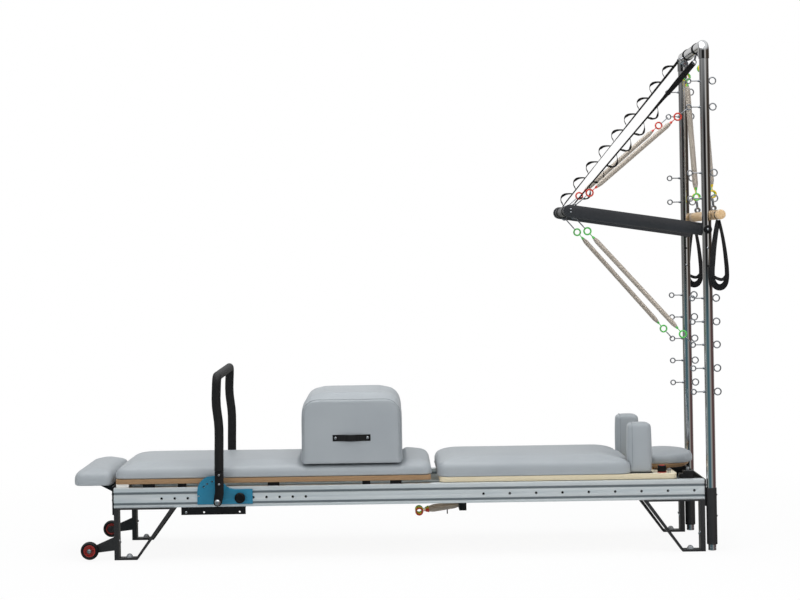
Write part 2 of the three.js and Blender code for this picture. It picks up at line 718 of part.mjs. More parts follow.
const pegPlaces = sides.flatMap(([side]) => [-pegOffset, pegOffset].map((dx) => [restMiddle.x + dx, side * restMiddle.y]));
const boardBody = join([
  floorPlate(boardPlan(carriageBoard), [carriageBoard.bottom, carriageBoard.top]),
  ...sides.flatMap(([side]) => axlePlaces.flatMap((x) => wheelHanger(x, side))),
  ...sides.map(([side]) => barrel(
    vec(bumperX, side * bumperHalfSpan, carriageBoard.top - clearance),
    vec(bumperX, side * bumperHalfSpan, carriageBoard.top + bumperHeight), bumperRadius,
  )),
]);
const pegHoles = pegPlaces.map(([x, y]) => barrel(
  vec(x, y, carriageBoard.top - pegDepth - runningGap), vec(x, y, carriageBoard.top + overrun), pegRadius + runningGap, indexHoleSides,
));
add("carriage_board", birchPly, [cut(boardBody, pegHoles)]);

for (const [side, label] of sides) {
  axlePlaces.forEach((x, i) => {
    const wheelY = acrossSpan(side, trackWheelInner, trackWheelInner + trackWheelWidth);
    const bore = crossBarrel(x, trackWheelZ, acrossSpan(side, trackWheelInner - overrun, stubEnd + overrun), stubRadius + runningGap, loopSteps);
    const name = `${label}_${i === 0 ? "foot" : "head"}_track_wheel`;
    add(name, tyreRubber, [cut(crossBarrel(x, trackWheelZ, wheelY, trackWheelRadius, trackWheelSides), [bore])]);
  });
}

const cushionOverhang = 12;
const cushionSideOverhang = 6;
const cushionRestGap = 6;
const carriageCushion = {
  start: carriageStart - cushionOverhang, end: restPlaces.start - cushionRestGap,
  halfWidth: carriageBoard.halfWidth + cushionSideOverhang, corner: 45,
};
add("carriage_cushion", vinyl, [
  pillow(
    roundedPlan([carriageCushion.start, carriageCushion.end], [-carriageCushion.halfWidth, carriageCushion.halfWidth], carriageCushion.corner),
    padLevels(carriageBoard.top + clearance, cushionTop, matRoll),
  ),
]);

for (const [side, label] of sides) {
  const [x0, x1] = [restPlaces.start, restPlaces.end];
  const span = acrossSpan(side, restPlaces.inner, restPlaces.outer);
  const baseBottom = carriageBoard.top + clearance;
  const baseTop = baseBottom + restBase;
  const pegs = pegPlaces.filter(([, y]) => y * side > 0).map(([x, y]) => barrel(
    vec(x, y, carriageBoard.top - pegDepth), vec(x, y, baseTop), pegRadius, indexHoleSides,
  ));
  add(`${label}_shoulder_rest`, vinyl, [
    block([x0 + restBase, x1 - restBase], [span[0] + restBase, span[1] - restBase], [baseBottom, baseTop + restBase]),
    pillow(roundedPlan([x0, x1], span, restCorner, smallCornerSteps), padLevels(baseTop, restTop, restRoll)),
    ...pegs,
  ]);
}

// Headrest: a D-shaped board and cushion on hinge barrels between the shoulder rests.
const headrestGap = 8;
const headrestShoulder = 68;
const headrestLength = 178;
const headrestStart = restPlaces.end + headrestGap;
const headrest = {
  start: headrestStart, shoulder: headrestStart + headrestShoulder, end: headrestStart + headrestLength,
  halfWidth: 150, boardBottom: 318, boardTop: 335, top: 374,
};
const headrestBoardInset = 6;
const headrestWedge = 10;
const headrestRoll = { seam: 4, roll: 14, crown: 5, crownReach: 55 };
const headrestSteps = 10;
const headrestCorner = 12;
const hingeInset = 10;
const hingeX = headrest.start + hingeInset;
const hingeBarrelRadius = (headrest.boardBottom - carriageBoard.top - clearance) / 2;
const hingeHalfSpan = [70, 110];
const propX = [headrest.shoulder, carriageEnd - headrestWedge];
const propHalfWidth = 60;
function headrestPlan(inset) {
  const { start, shoulder, end, halfWidth } = headrest;
  const r = Math.max(headrestCorner - inset, clearance);
  const reach = end - shoulder - inset;
  const width = halfWidth - inset;
  const nose = arc(0, 0, 1, -90, 90, headrestSteps).map(([u, v]) => [shoulder + reach * u, width * v]);
  return [
    ...nose,
    ...arc(start + inset + r, width - r, r, 90, 180, 2),
    ...arc(start + inset + r, -width + r, r, 180, 270, 2),
  ];
}
const headrestLevels = [
  [headrestBoardInset + headrestWedge, headrest.boardBottom],
  [headrestBoardInset, headrest.boardBottom + headrestWedge],
  [headrestBoardInset, headrest.boardTop],
];
const hingeZ = carriageBoard.top + clearance + hingeBarrelRadius;
add("headrest_board", brownPly, [
  pillow(headrestPlan, headrestLevels),
  ...sides.map(([side]) => block(
    [hingeX, hingeX + 2 * hingeBarrelRadius + headrestWedge], acrossSpan(side, ...hingeHalfSpan),
    [hingeZ, headrest.boardBottom + clearance],
  )),
  ...sides.map(([side]) => crossBarrel(hingeX + hingeBarrelRadius / 2, hingeZ, acrossSpan(side, ...hingeHalfSpan), hingeBarrelRadius, loopSteps)),
  block(propX, [-propHalfWidth, propHalfWidth], [carriageBoard.top + clearance, headrest.boardBottom + clearance]),
]);
add("headrest_cushion", vinyl, [
  pillow(headrestPlan, padLevels(headrest.boardTop + clearance, headrest.top, headrestRoll)),
]);

// Footbar slide plates: a guide tongue in each rail groove, tilt notches and the plunger's bore.
const slidePlateThickness = 6;
const slideFace = railHalfSpan + clearance;
const slideStart = 336;
const slideEnd = 557;
const slideBottom = 218;
const pivotPlate = { x: 420, z: 230 };
const archFoot = 272;
const archTop = 331;
const heelTop = 277;
const heelStart = 487;
const notchRadius = 82;
const notchAngles = [17, 32.5, 45, 75];
const notchHoleRadius = 4;
const plungerX = footHoles.first + 6 * footHoles.pitch;
const plungerPin = 4;
const plungerBody = 7;
const tongueGap = 1;
const slideOutline = [
  [slideStart, slideBottom], [slideEnd, slideBottom], [slideEnd, heelTop], [heelStart, heelTop],
  ...arc(heelStart, archTop, archTop - heelTop, 270, 180, 4).slice(1),
  ...arc(slideStart + archTop - archFoot, archFoot, archTop - archFoot, 90, 180, 5),
];
const notchPlaces = notchAngles.map((degrees) => {
  const angle = THREE.MathUtils.degToRad(degrees);
  return [pivotPlate.x - notchRadius * Math.sin(angle), pivotPlate.z + notchRadius * Math.cos(angle)];
});
const tongues = [
  [railBottom + lipHeight + tongueGap, railBottom + lowGrooveTop - tongueGap],
  [railBottom + highGrooveBottom + tongueGap, railBottom + highGrooveTop - tongueGap],
];
for (const [side, label] of sides) {
  const face = acrossSpan(side, slideFace, slideFace + slidePlateThickness);
  const tongueSpan = acrossSpan(side, railHalfSpan - grooveDepth + clearance, slideFace + slidePlateThickness / 2);
  const deep = acrossSpan(side, slideFace - overrun, slideFace + slidePlateThickness + overrun);
  const blank = join([
    sidePlate(shapeOf(slideOutline), face),
    ...tongues.map(([low, high]) => block([slideStart, slideEnd], tongueSpan, [Math.max(low, slideBottom), high])),
  ]);
  add(`${label}_slide_plate`, bluePaint, [cut(blank, [
    ...notchPlaces.map(([x, z]) => crossBarrel(x, z, deep, notchHoleRadius, indexHoleSides)),
    crossBarrel(plungerX, indexHoleZ, deep, plungerPin + runningGap, loopSteps),
  ])]);
}

// Plungers that lock the slide plates to the rails' index holes.
const knobRadius = 22;
const knobThickness = 16;
const knobLobeCount = 6;
const knobNeck = 7;
const lobeDepth = 3;
for (const [side, label] of sides) {
  const plateOuter = slideFace + slidePlateThickness + clearance;
  const knobOutline = Array.from({ length: 2 * knobLobeCount }, (_, i) => {
    const angle = (Math.PI * i) / knobLobeCount;
    const radius = i % 2 ? knobRadius - lobeDepth : knobRadius;
    return [plungerX + radius * Math.cos(angle), indexHoleZ + radius * Math.sin(angle)];
  });
  add(`${label}_plunger`, blackGrip, [
    crossBarrel(plungerX, indexHoleZ, acrossSpan(side, slideFace + clearance, plateOuter + knobNeck), plungerPin, loopSteps),
    crossBarrel(plungerX, indexHoleZ, acrossSpan(side, plateOuter, plateOuter + knobNeck), plungerBody, loopSteps),
    sidePlate(shapeOf(knobOutline), acrossSpan(side, plateOuter + knobNeck / 2, plateOuter + knobNeck / 2 + knobThickness)),
  ]);
}

// Footbar: a padded tube bent over the bed, on two flat arms that pivot on the slide plates.
const footbarOutset = 33;
const footbarHalfSpan = railHalfSpan + footbarOutset;
const footbarRadius = 17.5;
const footbarBend = 55;
const footbarBendSteps = 4;
const armTop = 354;
const armHalfWidth = 17;
const armThickness = 24;
const armBossRadius = 14;
const shankLean = 5;
const shankZ = 600;
const topLean = -2;
const footbarRoute = [
  vec(footbarX, -footbarHalfSpan, armTop), vec(footbarX - shankLean, -footbarHalfSpan, shankZ),
  vec(footbarX + topLean, -footbarHalfSpan, footbarTop), vec(footbarX + topLean, footbarHalfSpan, footbarTop),
  vec(footbarX - shankLean, footbarHalfSpan, shankZ), vec(footbarX, footbarHalfSpan, armTop),
];
add("footbar", blackGrip, [bentTube(footbarRoute, footbarBend, footbarRadius, tubeSides, footbarBendSteps)]);
const armLean = footbarX - pivotPlate.x;
const armShoulder = armTop - clearance - runningGap;
const armOutline = [
  ...arc(pivotPlate.x, pivotPlate.z, armHalfWidth, 180, 360, 6),
  [footbarX + armHalfWidth, pivotPlate.z + 2 * armHalfWidth], [footbarX + armHalfWidth, armShoulder],
  [footbarX - armHalfWidth, armShoulder], [footbarX - armHalfWidth, pivotPlate.z + 2 * armHalfWidth + armLean],
];
for (const [side, label] of sides) {
  const armOuter = footbarHalfSpan + armThickness / 2;
  const bossEnd = slideFace + slidePlateThickness + clearance;
  add(`${label}_footbar_arm`, blackSteel, [
    sidePlate(shapeOf(armOutline), acrossSpan(side, armOuter - armThickness, armOuter)),
    crossBarrel(pivotPlate.x, pivotPlate.z, acrossSpan(side, bossEnd, armOuter - armThickness / 2), armBossRadius),
  ]);
}

// Push-through bar: a crossbar between two flat arms, each turning on a pin through its post.
const pushBarRadius = 20;
const pushArmInset = 57;
const armInner = postHalfSpan - pushArmInset;
const pushArmThickness = 16;
const pushArmHalfHeight = 25;
const pushArmTail = 18;
const pivotBoss = 15;
const pivotKnobRadius = 17;
const pivotKnobThickness = 14;
const pushPivot = vec(postCentreX, 0, pivotZ);
const pushCentre = vec(pushBarX, 0, pushBarZ);
const pushDirection = along(pushPivot, pushCentre);
const pushNormal = vec(-pushDirection.z, 0, pushDirection.x);
const springEyeInset = 19;
const springEyeY = armInner - springEyeInset;
const upperEyeTarget = vec(postCentreX - footEye.reach, 0, eyeHeights[upperSpringEye]);
const lowerEyeTarget = vec(postCentreX - footEye.reach, 0, eyeHeights[lowerSpringEye]);
const pushEye = (target) => offset(pushCentre, along(pushCentre, target), pushBarRadius + barEyeRadius);
const atY = (point, y) => vec(point.x, y, point.z);
add("push_bar", charcoal, [
  crossBarrel(pushBarX, pushBarZ, [-armInner + clearance, armInner - clearance], pushBarRadius, postSides),
  ...sides.flatMap(([side]) => [upperEyeTarget, lowerEyeTarget].map((target) => ring(
    atY(pushEye(target), side * springEyeY), acrossY, barEyeRadius, eyeWire,
  ))),
]);
const headingDegrees = THREE.MathUtils.radToDeg(Math.atan2(pushDirection.z, pushDirection.x));
const tail = offset(pushPivot, pushDirection, -pushArmTail);
const tailCorner = (sign) => {
  const corner = offset(tail, pushNormal, sign * pushArmHalfHeight);
  return [corner.x, corner.z];
};
const pushArmOutline = [
  ...arc(pushBarX, pushBarZ, pushArmHalfHeight, headingDegrees - 90, headingDegrees + 90, 8),
  tailCorner(1), tailCorner(-1),
];
for (const [side, label] of sides) {
  const armOuter = armInner + pushArmThickness;
  const postInner = postHalfSpan - postRadius - clearance;
  const postOuter = postHalfSpan + postRadius + clearance;
  add(`${label}_push_arm`, charcoal, [
    sidePlate(shapeOf(pushArmOutline), acrossSpan(side, armInner, armOuter)),
    crossBarrel(postCentreX, pivotZ, acrossSpan(side, armOuter - pushArmThickness / 2, postInner), pivotBoss),
    crossBarrel(postCentreX, pivotZ, acrossSpan(side, postInner - pushArmThickness / 2, postOuter + pivotKnobThickness / 2), pivotRadius),
    crossBarrel(postCentreX, pivotZ, acrossSpan(side, postOuter, postOuter + pivotKnobThickness), pivotKnobRadius),
  ]);
}

// Springs: a wound wire between coloured caps, a ring at each end and a clip that passes through an eye.
const springRadius = 8.4;
const springWire = 1.7;
const curlSteps = 8;
const curlSides = 5;
const capRadius = 11;
const capTip = 5;
const capReach = 42;
const capSink = 4;
const springRing = 14;
const springRingWire = 3;
const clipHalfWidth = 6.5;
const clipWire = 2;
const postClip = 58;
const barClip = 60;
const tensionTurnCount = 4;
const hangingTurnCount = 3;
const parkedTurnCount = 2;
const selfGaps = [];

function coil(from, to, turns) {
  const axis = along(from, to);
  const first = axis.clone().cross(acrossY).normalize();
  const second = axis.clone().cross(first);
  const length = from.distanceTo(to);
  const count = turns * curlSteps;
  const stations = Array.from({ length: count + 1 }, (_, i) => {
    const angle = (2 * Math.PI * i) / curlSteps;
    const spoke = first.clone().multiplyScalar(Math.cos(angle)).addScaledVector(second, Math.sin(angle));
    const sweep = first.clone().multiplyScalar(-Math.sin(angle)).addScaledVector(second, Math.cos(angle));
    const rise = length / (turns * 2 * Math.PI);
    return {
      point: offset(offset(from, axis, (length * i) / count), spoke, springRadius),
      tangent: sweep.multiplyScalar(springRadius).addScaledVector(axis, rise).normalize(),
    };
  });
  let least = Infinity;
  for (let i = 0; i < count; i += 1) {
    for (let j = i + curlSteps / 2 + 1; j <= count; j += 1) {
      least = Math.min(least, stations[i].point.distanceTo(stations[j].point) - 2 * springWire);
    }
  }
  selfGaps.push(least);
  return rod(stations, springWire, curlSides);
}

// How far a faceted ring's wire stands from its centre in one direction of the XZ plane.
function wireDistance(direction, radius) {
  const facet = (2 * Math.PI) / ringSteps;
  const angle = Math.atan2(direction.z, direction.x) + 2 * Math.PI;
  return (radius * Math.cos(facet / 2)) / Math.cos((angle % facet) - facet / 2);
}

// The clip, ring and cap at one end: from the centre of the eye it hooks to, towards the coil.
function springEnd(eyeCentre, direction, eyeRadius, reach) {
  const width = offset(acrossY, direction, -acrossY.dot(direction)).normalize();
  const grip = wireDistance(direction, eyeRadius) - eyeWire - clipWire;
  const ringCentre = offset(eyeCentre, direction, reach);
  return [
    wireLink(offset(eyeCentre, direction, grip), offset(ringCentre, direction, -springRing), width, clipHalfWidth, clipWire),
    ring(ringCentre, width, springRing, springRingWire),
    barrel(offset(ringCentre, direction, springRing), offset(ringCentre, direction, capReach), capTip, indexHoleSides, capRadius),
  ];
}

function hookedSpring(start, end, startEye, endEye, startReach, endReach, turns) {
  const direction = along(start, end);
  const back = direction.clone().negate();
  const coilStart = offset(start, direction, startReach + capReach - capSink);
  const coilEnd = offset(end, back, endReach + capReach - capSink);
  return [
    ...springEnd(start, direction, startEye, startReach),
    ...springEnd(end, back, endEye, endReach),
    coil(coilStart, coilEnd, turns),
  ];
}

for (const [side, label] of sides) {
  const postY = side * postHalfSpan;
  const tensionSprings = [["upper", upperEyeTarget], ["lower", lowerEyeTarget]];
  for (const [level, target] of tensionSprings) {
    const start = atY(target, postY);
    const end = atY(pushEye(target), side * springEyeY);
    add(`${label}_${level}_spring`, springSteel, hookedSpring(start, end, footEye.radius, barEyeRadius, postClip, barClip, tensionTurnCount));
  }
}

// Roll-down bar: a turned dowel behind the posts, hung by four springs from the top crossbar.
const dowelStandOff = 41;
const dowelX = postCentreX + dowelStandOff;
const dowelZ = 1340;
const dowelRadius = 19.5;
const dowelOverhang = 104;
const dowelHalfLength = postHalfSpan + dowelOverhang;
const dowelRound = 8;
const dowelNeck = 2;
const dowelNeckInset = 55;
const dowelNeckY = dowelHalfLength - dowelNeckInset;
const dowelNeckWidth = 12;
const dowelEyeZ = dowelZ + dowelRadius + barEyeRadius;
const hangerReach = 56;
const dowelProfile = [
  [0, -dowelHalfLength], [dowelRadius - dowelRound, -dowelHalfLength], [dowelRadius, -dowelHalfLength + dowelRound],
  [dowelRadius, -dowelNeckY - dowelNeckWidth], [dowelRadius - dowelNeck, -dowelNeckY - dowelNeckWidth / 2],
  [dowelRadius - dowelNeck, -dowelNeckY + dowelNeckWidth / 2], [dowelRadius, -dowelNeckY + dowelNeckWidth],
];
const dowelOutline = [...dowelProfile, ...dowelProfile.map(([r, y]) => [r, -y]).reverse()];
const dowel = new THREE.LatheGeometry(dowelOutline.map(([r, y]) => new THREE.Vector2(r, y)), postSides).translate(dowelX, 0, dowelZ);
add("roll_down_bar", maple, [
  dowel,
  ...hangingYs.map((y) => ring(vec(dowelX, y, dowelEyeZ), acrossY, barEyeRadius, eyeWire)),
]);
for (const [side, label] of sides) {
  for (const [colour, halfSpan] of hangingSprings) {
    const start = vec(postCentreX, side * halfSpan, crossbarEyeZ);
    const end = vec(dowelX, side * halfSpan, dowelEyeZ);
    add(`${label}_${colour}_spring`, springSteel, hookedSpring(start, end, barEyeRadius, barEyeRadius, hangerReach, hangerReach, hangingTurnCount));
  }
}

// Leg loops: a webbing band round each end of the roll-down bar that opens into a padded teardrop.
const loopPostGap = 39;
const loopHalfSpan = postHalfSpan + loopPostGap;
const loopWidth = 28;
const loopBand = 5;
const loopPad = 12;
const loopBottom = 1035;
const loopHalfOpening = 24;
const loopCentreZ = 1080;
const loopNeckZ = 1308;
const loopNeck = 2;
const loopArcSteps = 8;
function tearDrop(halfWidth, drop, neck, top) {
  return [[dowelX - neck, top], ...arc(dowelX, loopCentreZ, 1, 180, 360, loopArcSteps)
    .map(([x, z]) => [dowelX + (x - dowelX) * halfWidth, loopCentreZ + (z - loopCentreZ) * drop]), [dowelX + neck, top]];
}
const loopDrop = loopCentreZ - loopBottom;
const loopBandOuter = dowelRadius + clearance + loopBand;
const loopOutline = [
  ...arc(dowelX, dowelZ, loopBandOuter, -60, 240, 10),
  ...tearDrop(loopHalfOpening + loopPad / 2 + loopBand / 2, loopDrop, loopNeck + loopBand, loopNeckZ),
];
const loopHole = tearDrop(loopHalfOpening, loopDrop - loopPad, loopNeck, loopNeckZ - 2 * loopBand);
for (const [side, label] of sides) {
  const span = acrossSpan(side, loopHalfSpan - loopWidth / 2, loopHalfSpan + loopWidth / 2);
  const bandHole = circle(dowelX, dowelZ, dowelRadius + clearance, postSides);
  add(`${label}_leg_loop`, blackWebbing, [sidePlate(pierced(loopOutline, [bandHole, loopHole]), span)]);
}

// Safety straps from the top crossbar to the push-through bar, each with a row of sewn loops.
const strapHalfSpan = 120;
const strapWidth = 26;
const strapThickness = 4;
const strapLoopCount = 8;
const strapLoopDepth = 40;
const strapLoopSteps = 2;
const strapLoopInset = 10;
const strapTop = vec(postCentreX, 0, crossbarZ);
const strapDirection = along(strapTop, pushCentre);
const strapNormal = vec(-strapDirection.z, 0, strapDirection.x);
const strapEnds = [
  crossbarRadius + clearance + strapThickness / 2,
  strapTop.distanceTo(pushCentre) - pushBarRadius - clearance - strapThickness / 2,
];

// A point at a distance down the strap and a distance out from it.
function strapPoint(run, out) {
  const point = offset(offset(strapTop, strapDirection, run), strapNormal, out);
  return [point.x, point.z];
}

const loopPitch = (strapEnds[1] - strapEnds[0] - 2 * strapLoopInset) / strapLoopCount;
function strapLoop(i, bulge) {
  const start = strapEnds[0] + strapLoopInset + i * loopPitch + strapThickness / 2;
  const length = loopPitch - strapThickness;
  const edge = (inset) => arc(0, 0, 1, 180, 0, strapLoopSteps + 1).map(([u, v]) => [
    start + length / 2 + u * (length / 2 - inset), v * (strapLoopDepth - inset),
  ]);
  const outer = edge(0).map(([run, out]) => strapPoint(run, bulge * out));
  const inner = edge(strapThickness).map(([run, out]) => strapPoint(run, bulge * (out + strapThickness / 4)));
  return shapeOf([...outer, ...inner.reverse()]);
}

for (const [side, label] of sides) {
  const bulge = side > 0 ? -1 : 1;
  const span = acrossSpan(side, strapHalfSpan - strapWidth / 2, strapHalfSpan + strapWidth / 2);
  const half = strapThickness / 2;
  const web = shapeOf([
    strapPoint(strapEnds[0], -half), strapPoint(strapEnds[1], -half), strapPoint(strapEnds[1], half), strapPoint(strapEnds[0], half),
  ]);
  const wraps = [[strapTop, crossbarRadius], [pushCentre, pushBarRadius]].map(([centre, radius]) => pierced(
    circle(centre.x, centre.z, radius + clearance + strapThickness, postSides),
    [circle(centre.x, centre.z, radius + clearance, postSides)],
  ));
  const loops = Array.from({ length: strapLoopCount }, (_, i) => strapLoop(i, bulge));
  add(`${label}_safety_strap`, blackWebbing, [web, ...wraps, ...loops].map((shape) => sidePlate(shape, span)));
}

// Carriage springs, unhooked and parked in a rack under the carriage.
const rackInset = 84;
const rackThickness = 30;
const rackX = [carriageStart + rackInset, carriageStart + rackInset + rackThickness];
const rackHalfWidth = 58;
const rackBottom = 146;
const parkedSpread = 40;
const parkedStart = { x: rackX[0] - clearance, z: 166 };
const parkedReach = 164;
const parkedRing = { x: rackX[0] - parkedReach, z: 142 };
const retainerReach = 47;
const retainerX = rackX[0] - retainerReach;
const retainerBottom = 123;
const retainerZ = 196;
const retainerRadius = 2.5;
const retainerBend = 8;
const retainerY = parkedSpread / 2;
add("spring_rack", blackSteel, [
  block(rackX, [-rackHalfWidth, rackHalfWidth], [rackBottom, carriageBoard.bottom - clearance]),
  bentTube(
    [vec(rackX[0] + retainerBend, retainerY, retainerZ), vec(retainerX, retainerY, retainerZ), vec(retainerX, retainerY, retainerBottom)],
    retainerBend, retainerRadius, indexHoleSides, 3,
  ),
]);
[["red", -1], ["yellow", 0], ["green", 1]].forEach(([colour, place]) => {
  const start = vec(parkedStart.x, place * parkedSpread, parkedStart.z);
  const ringCentre = vec(parkedRing.x, place * parkedSpread, parkedRing.z);
  const direction = along(ringCentre, start);
  const capEnd = offset(ringCentre, direction, capReach);
  add(`parked_${colour}_spring`, springSteel, [
    ring(ringCentre, acrossY, springRing, springRingWire),
    barrel(offset(ringCentre, direction, springRing), capEnd, capTip, indexHoleSides, capRadius),
    coil(offset(capEnd, direction, -capSink), offset(start, direction, -2 * capSink), parkedTurnCount),
    block([start.x - 3 * capSink, start.x], [start.y - capRadius, start.y + capRadius], [start.z - capRadius, start.z + capRadius]),
  ]);
});

console.log(`least gap between turns of a spring: ${Math.min(...selfGaps).toFixed(2)} mm`);

// The origin is on the floor, under the middle of the whole unit.
const bounds = new THREE.Box3().setFromObject(unit);
const middle = bounds.getCenter(new THREE.Vector3());
unit.position.set(-middle.x, -middle.y, -bounds.min.z);

export default unit;
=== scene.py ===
import json
import math

import bmesh
import bpy
import numpy as np
from mathutils import Matrix, Vector

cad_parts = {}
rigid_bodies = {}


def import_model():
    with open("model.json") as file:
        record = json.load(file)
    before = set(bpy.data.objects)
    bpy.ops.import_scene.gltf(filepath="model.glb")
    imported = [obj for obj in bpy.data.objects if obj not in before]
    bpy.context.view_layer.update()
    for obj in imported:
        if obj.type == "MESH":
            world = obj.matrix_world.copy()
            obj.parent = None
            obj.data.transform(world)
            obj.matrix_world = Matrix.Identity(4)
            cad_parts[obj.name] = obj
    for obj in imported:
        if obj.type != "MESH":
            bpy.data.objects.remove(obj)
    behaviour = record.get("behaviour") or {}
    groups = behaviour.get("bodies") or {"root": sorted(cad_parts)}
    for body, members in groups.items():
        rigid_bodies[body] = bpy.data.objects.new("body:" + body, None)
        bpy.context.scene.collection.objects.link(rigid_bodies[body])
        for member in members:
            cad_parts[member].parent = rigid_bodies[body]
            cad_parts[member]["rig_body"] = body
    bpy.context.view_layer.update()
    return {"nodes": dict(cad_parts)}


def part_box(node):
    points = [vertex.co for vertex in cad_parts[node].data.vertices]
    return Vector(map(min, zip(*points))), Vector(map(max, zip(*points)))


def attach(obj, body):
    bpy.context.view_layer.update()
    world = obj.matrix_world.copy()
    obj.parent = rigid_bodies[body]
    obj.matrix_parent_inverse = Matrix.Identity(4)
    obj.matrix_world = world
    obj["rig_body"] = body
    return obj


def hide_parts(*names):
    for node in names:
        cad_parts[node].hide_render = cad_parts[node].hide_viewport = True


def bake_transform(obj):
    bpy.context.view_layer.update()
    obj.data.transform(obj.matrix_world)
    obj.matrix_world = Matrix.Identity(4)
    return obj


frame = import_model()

scene = bpy.context.scene
SIDES = ((-1, "near"), (1, "far"))


# ---- Rails -----------------------------------------------------------------------------------
# The two long sides of the bed: aluminium extrusions with two outer grooves, saw-cut to length,
# brushed along their length and clear anodised.
RAIL_EDGE = 0.0007


def fed(tree, node, inputs):
    """Links or sets a shader node's inputs."""
    for key, value in inputs.items():
        if isinstance(value, bpy.types.NodeSocket):
            tree.links.new(value, node.inputs[key])
        else:
            node.inputs[key].default_value = value
    return node


def put(tree, kind, inputs=None, **settings):
    """Adds a shader node, sets its options and feeds its inputs."""
    made = tree.nodes.new("ShaderNode" + kind)
    for key, value in settings.items():
        setattr(made, key, value)
    return fed(tree, made, inputs or {})


def mixed(tree, factor, first, second):
    """The colour between two colours."""
    made = put(tree, "Mix", {0: factor, 6: first, 7: second}, data_type="RGBA")
    return made.outputs[2]


def ranged(tree, value, low, high, to_low=0.0, to_high=1.0):
    """A value mapped from one range to another."""
    made = put(tree, "MapRange", {0: value, 1: low, 2: high, 3: to_low, 4: to_high})
    return made.outputs[0]


def sums(tree, operation, first, second=0.0, third=0.0):
    """One step of arithmetic on values."""
    made = put(tree, "Math", {0: first, 1: second, 2: third}, operation=operation)
    return made.outputs[0]


def shared(name, takes, gives):
    """Starts a node group with its sockets, and returns its tree, what it is given and its result."""
    tree = bpy.data.node_groups.new(name, "ShaderNodeTree")
    for label, kind in takes:
        tree.interface.new_socket(label, in_out="INPUT", socket_type="NodeSocket" + kind)
    for label, kind in gives:
        tree.interface.new_socket(label, in_out="OUTPUT", socket_type="NodeSocket" + kind)
    return tree, tree.nodes.new("NodeGroupInput").outputs, tree.nodes.new("NodeGroupOutput")


def grain_group():
    """Noise stretched along the piece, as a value and as a shallow relief."""
    takes = [("Vector", "Vector"), ("Stretch", "Vector"), ("Depth", "Float")]
    tree, given, result = shared("Grain", takes, [("Value", "Float"), ("Normal", "Vector")])
    place = put(tree, "VectorMath", {0: given["Vector"], 1: given["Stretch"]}, operation="MULTIPLY")
    noise = put(tree, "TexNoise", {"Vector": place.outputs[0], "Scale": 1.0, "Detail": 4.0, "Roughness": 0.6})
    relief = put(tree, "Bump", {"Strength": 1.0, "Distance": given["Depth"], "Height": noise.outputs[0]})
    fed(tree, result, {"Value": noise.outputs[0], "Normal": relief.outputs[0]})
    return tree


def rubbed_group():
    """Where an edge is rubbed: the mask is high on corners, broken up by noise."""
    takes = [("Vector", "Vector"), ("Radius", "Float")]
    tree, given, result = shared("Rubbed edge", takes, [("Mask", "Float")])
    over = put(tree, "Bevel", {"Radius": given["Radius"]}, samples=4)
    flat = put(tree, "NewGeometry")
    same = put(tree, "VectorMath", {0: over.outputs[0], 1: flat.outputs["Normal"]}, operation="DOT_PRODUCT")
    corner = ranged(tree, same.outputs["Value"], 0.99, 0.75)
    broken = put(tree, "TexNoise", {"Vector": given["Vector"], "Scale": 60.0, "Detail": 5.0})
    patchy = ranged(tree, broken.outputs[0], 0.42, 0.62)
    fed(tree, result, {"Mask": sums(tree, "MULTIPLY", corner, patchy)})
    return tree


GRAIN = grain_group()
RUBBED = rubbed_group()
RUBBED_WIDTH = 0.0015


def grouped(tree, group, inputs):
    """Uses one of the shared node groups."""
    return put(tree, "Group", inputs, node_tree=group).outputs


def surface(name, roughness, metallic=0.0, coat=0.0):
    """A material with its shader, and the piece's own coordinates to wire it from."""
    made = bpy.data.materials.new(name)
    made.use_nodes = True
    tree = made.node_tree
    shader = tree.nodes["Principled BSDF"]
    fed(tree, shader, {"Roughness": roughness, "Metallic": metallic, "Coat Weight": coat})
    return made, tree, shader, put(tree, "TexCoord").outputs["Object"]


def rgb(code):
    """A colour written as in a paint chart, in the renderer's linear values."""
    parts = [int(code[i : i + 2], 16) / 255 for i in (0, 2, 4)]
    return (*[p / 12.92 if p <= 0.04045 else ((p + 0.055) / 1.055) ** 2.4 for p in parts], 1.0)


def finish(name, colour, other, roughness, metallic=0.0, stretch=900, depth=0.00006, spread=0.08,
           drift=(5, 5, 5), worn=None, coat=0.0, gloss=0.5):
    """A finish that drifts between two shades, with a fine grain and, if worn, rubbed edges."""
    made, tree, shader, place = surface(name, roughness, metallic, coat)
    stretch = (stretch,) * 3 if isinstance(stretch, int) else stretch
    fine = grouped(tree, GRAIN, {"Vector": place, "Stretch": stretch, "Depth": depth})
    broad = grouped(tree, GRAIN, {"Vector": place, "Stretch": drift, "Depth": 0.0})
    shade = ranged(tree, broad["Value"], 0.3, 0.7)
    paint = mixed(tree, shade, rgb(colour), rgb(other))
    if worn:
        edge = grouped(tree, RUBBED, {"Vector": place, "Radius": RUBBED_WIDTH})
        paint = mixed(tree, edge["Mask"], paint, rgb(worn))
    rough = ranged(tree, fine["Value"], 0.3, 0.7, roughness - spread, roughness + spread)
    fed(tree, shader, {"Base Color": paint, "Roughness": rough, "Normal": fine["Normal"],
                       "Specular IOR Level": gloss})
    return made


def shown(name, bm, material, body, nodes=(), angle=35):
    """Makes the finished mesh a piece that rides on its body and stands for its solids."""
    bmesh.ops.recalc_face_normals(bm, faces=bm.faces)
    mesh = bpy.data.meshes.new(name)
    bm.to_mesh(mesh)
    bm.free()
    mesh.materials.append(material)
    mesh.shade_smooth()
    mesh.set_sharp_from_angle(angle=math.radians(angle))
    made = bpy.data.objects.new(name, mesh)
    scene.collection.objects.link(made)
    if body:
        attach(made, body)
    if nodes:
        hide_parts(*nodes)
    return made


SAME_POINT = 0.00002


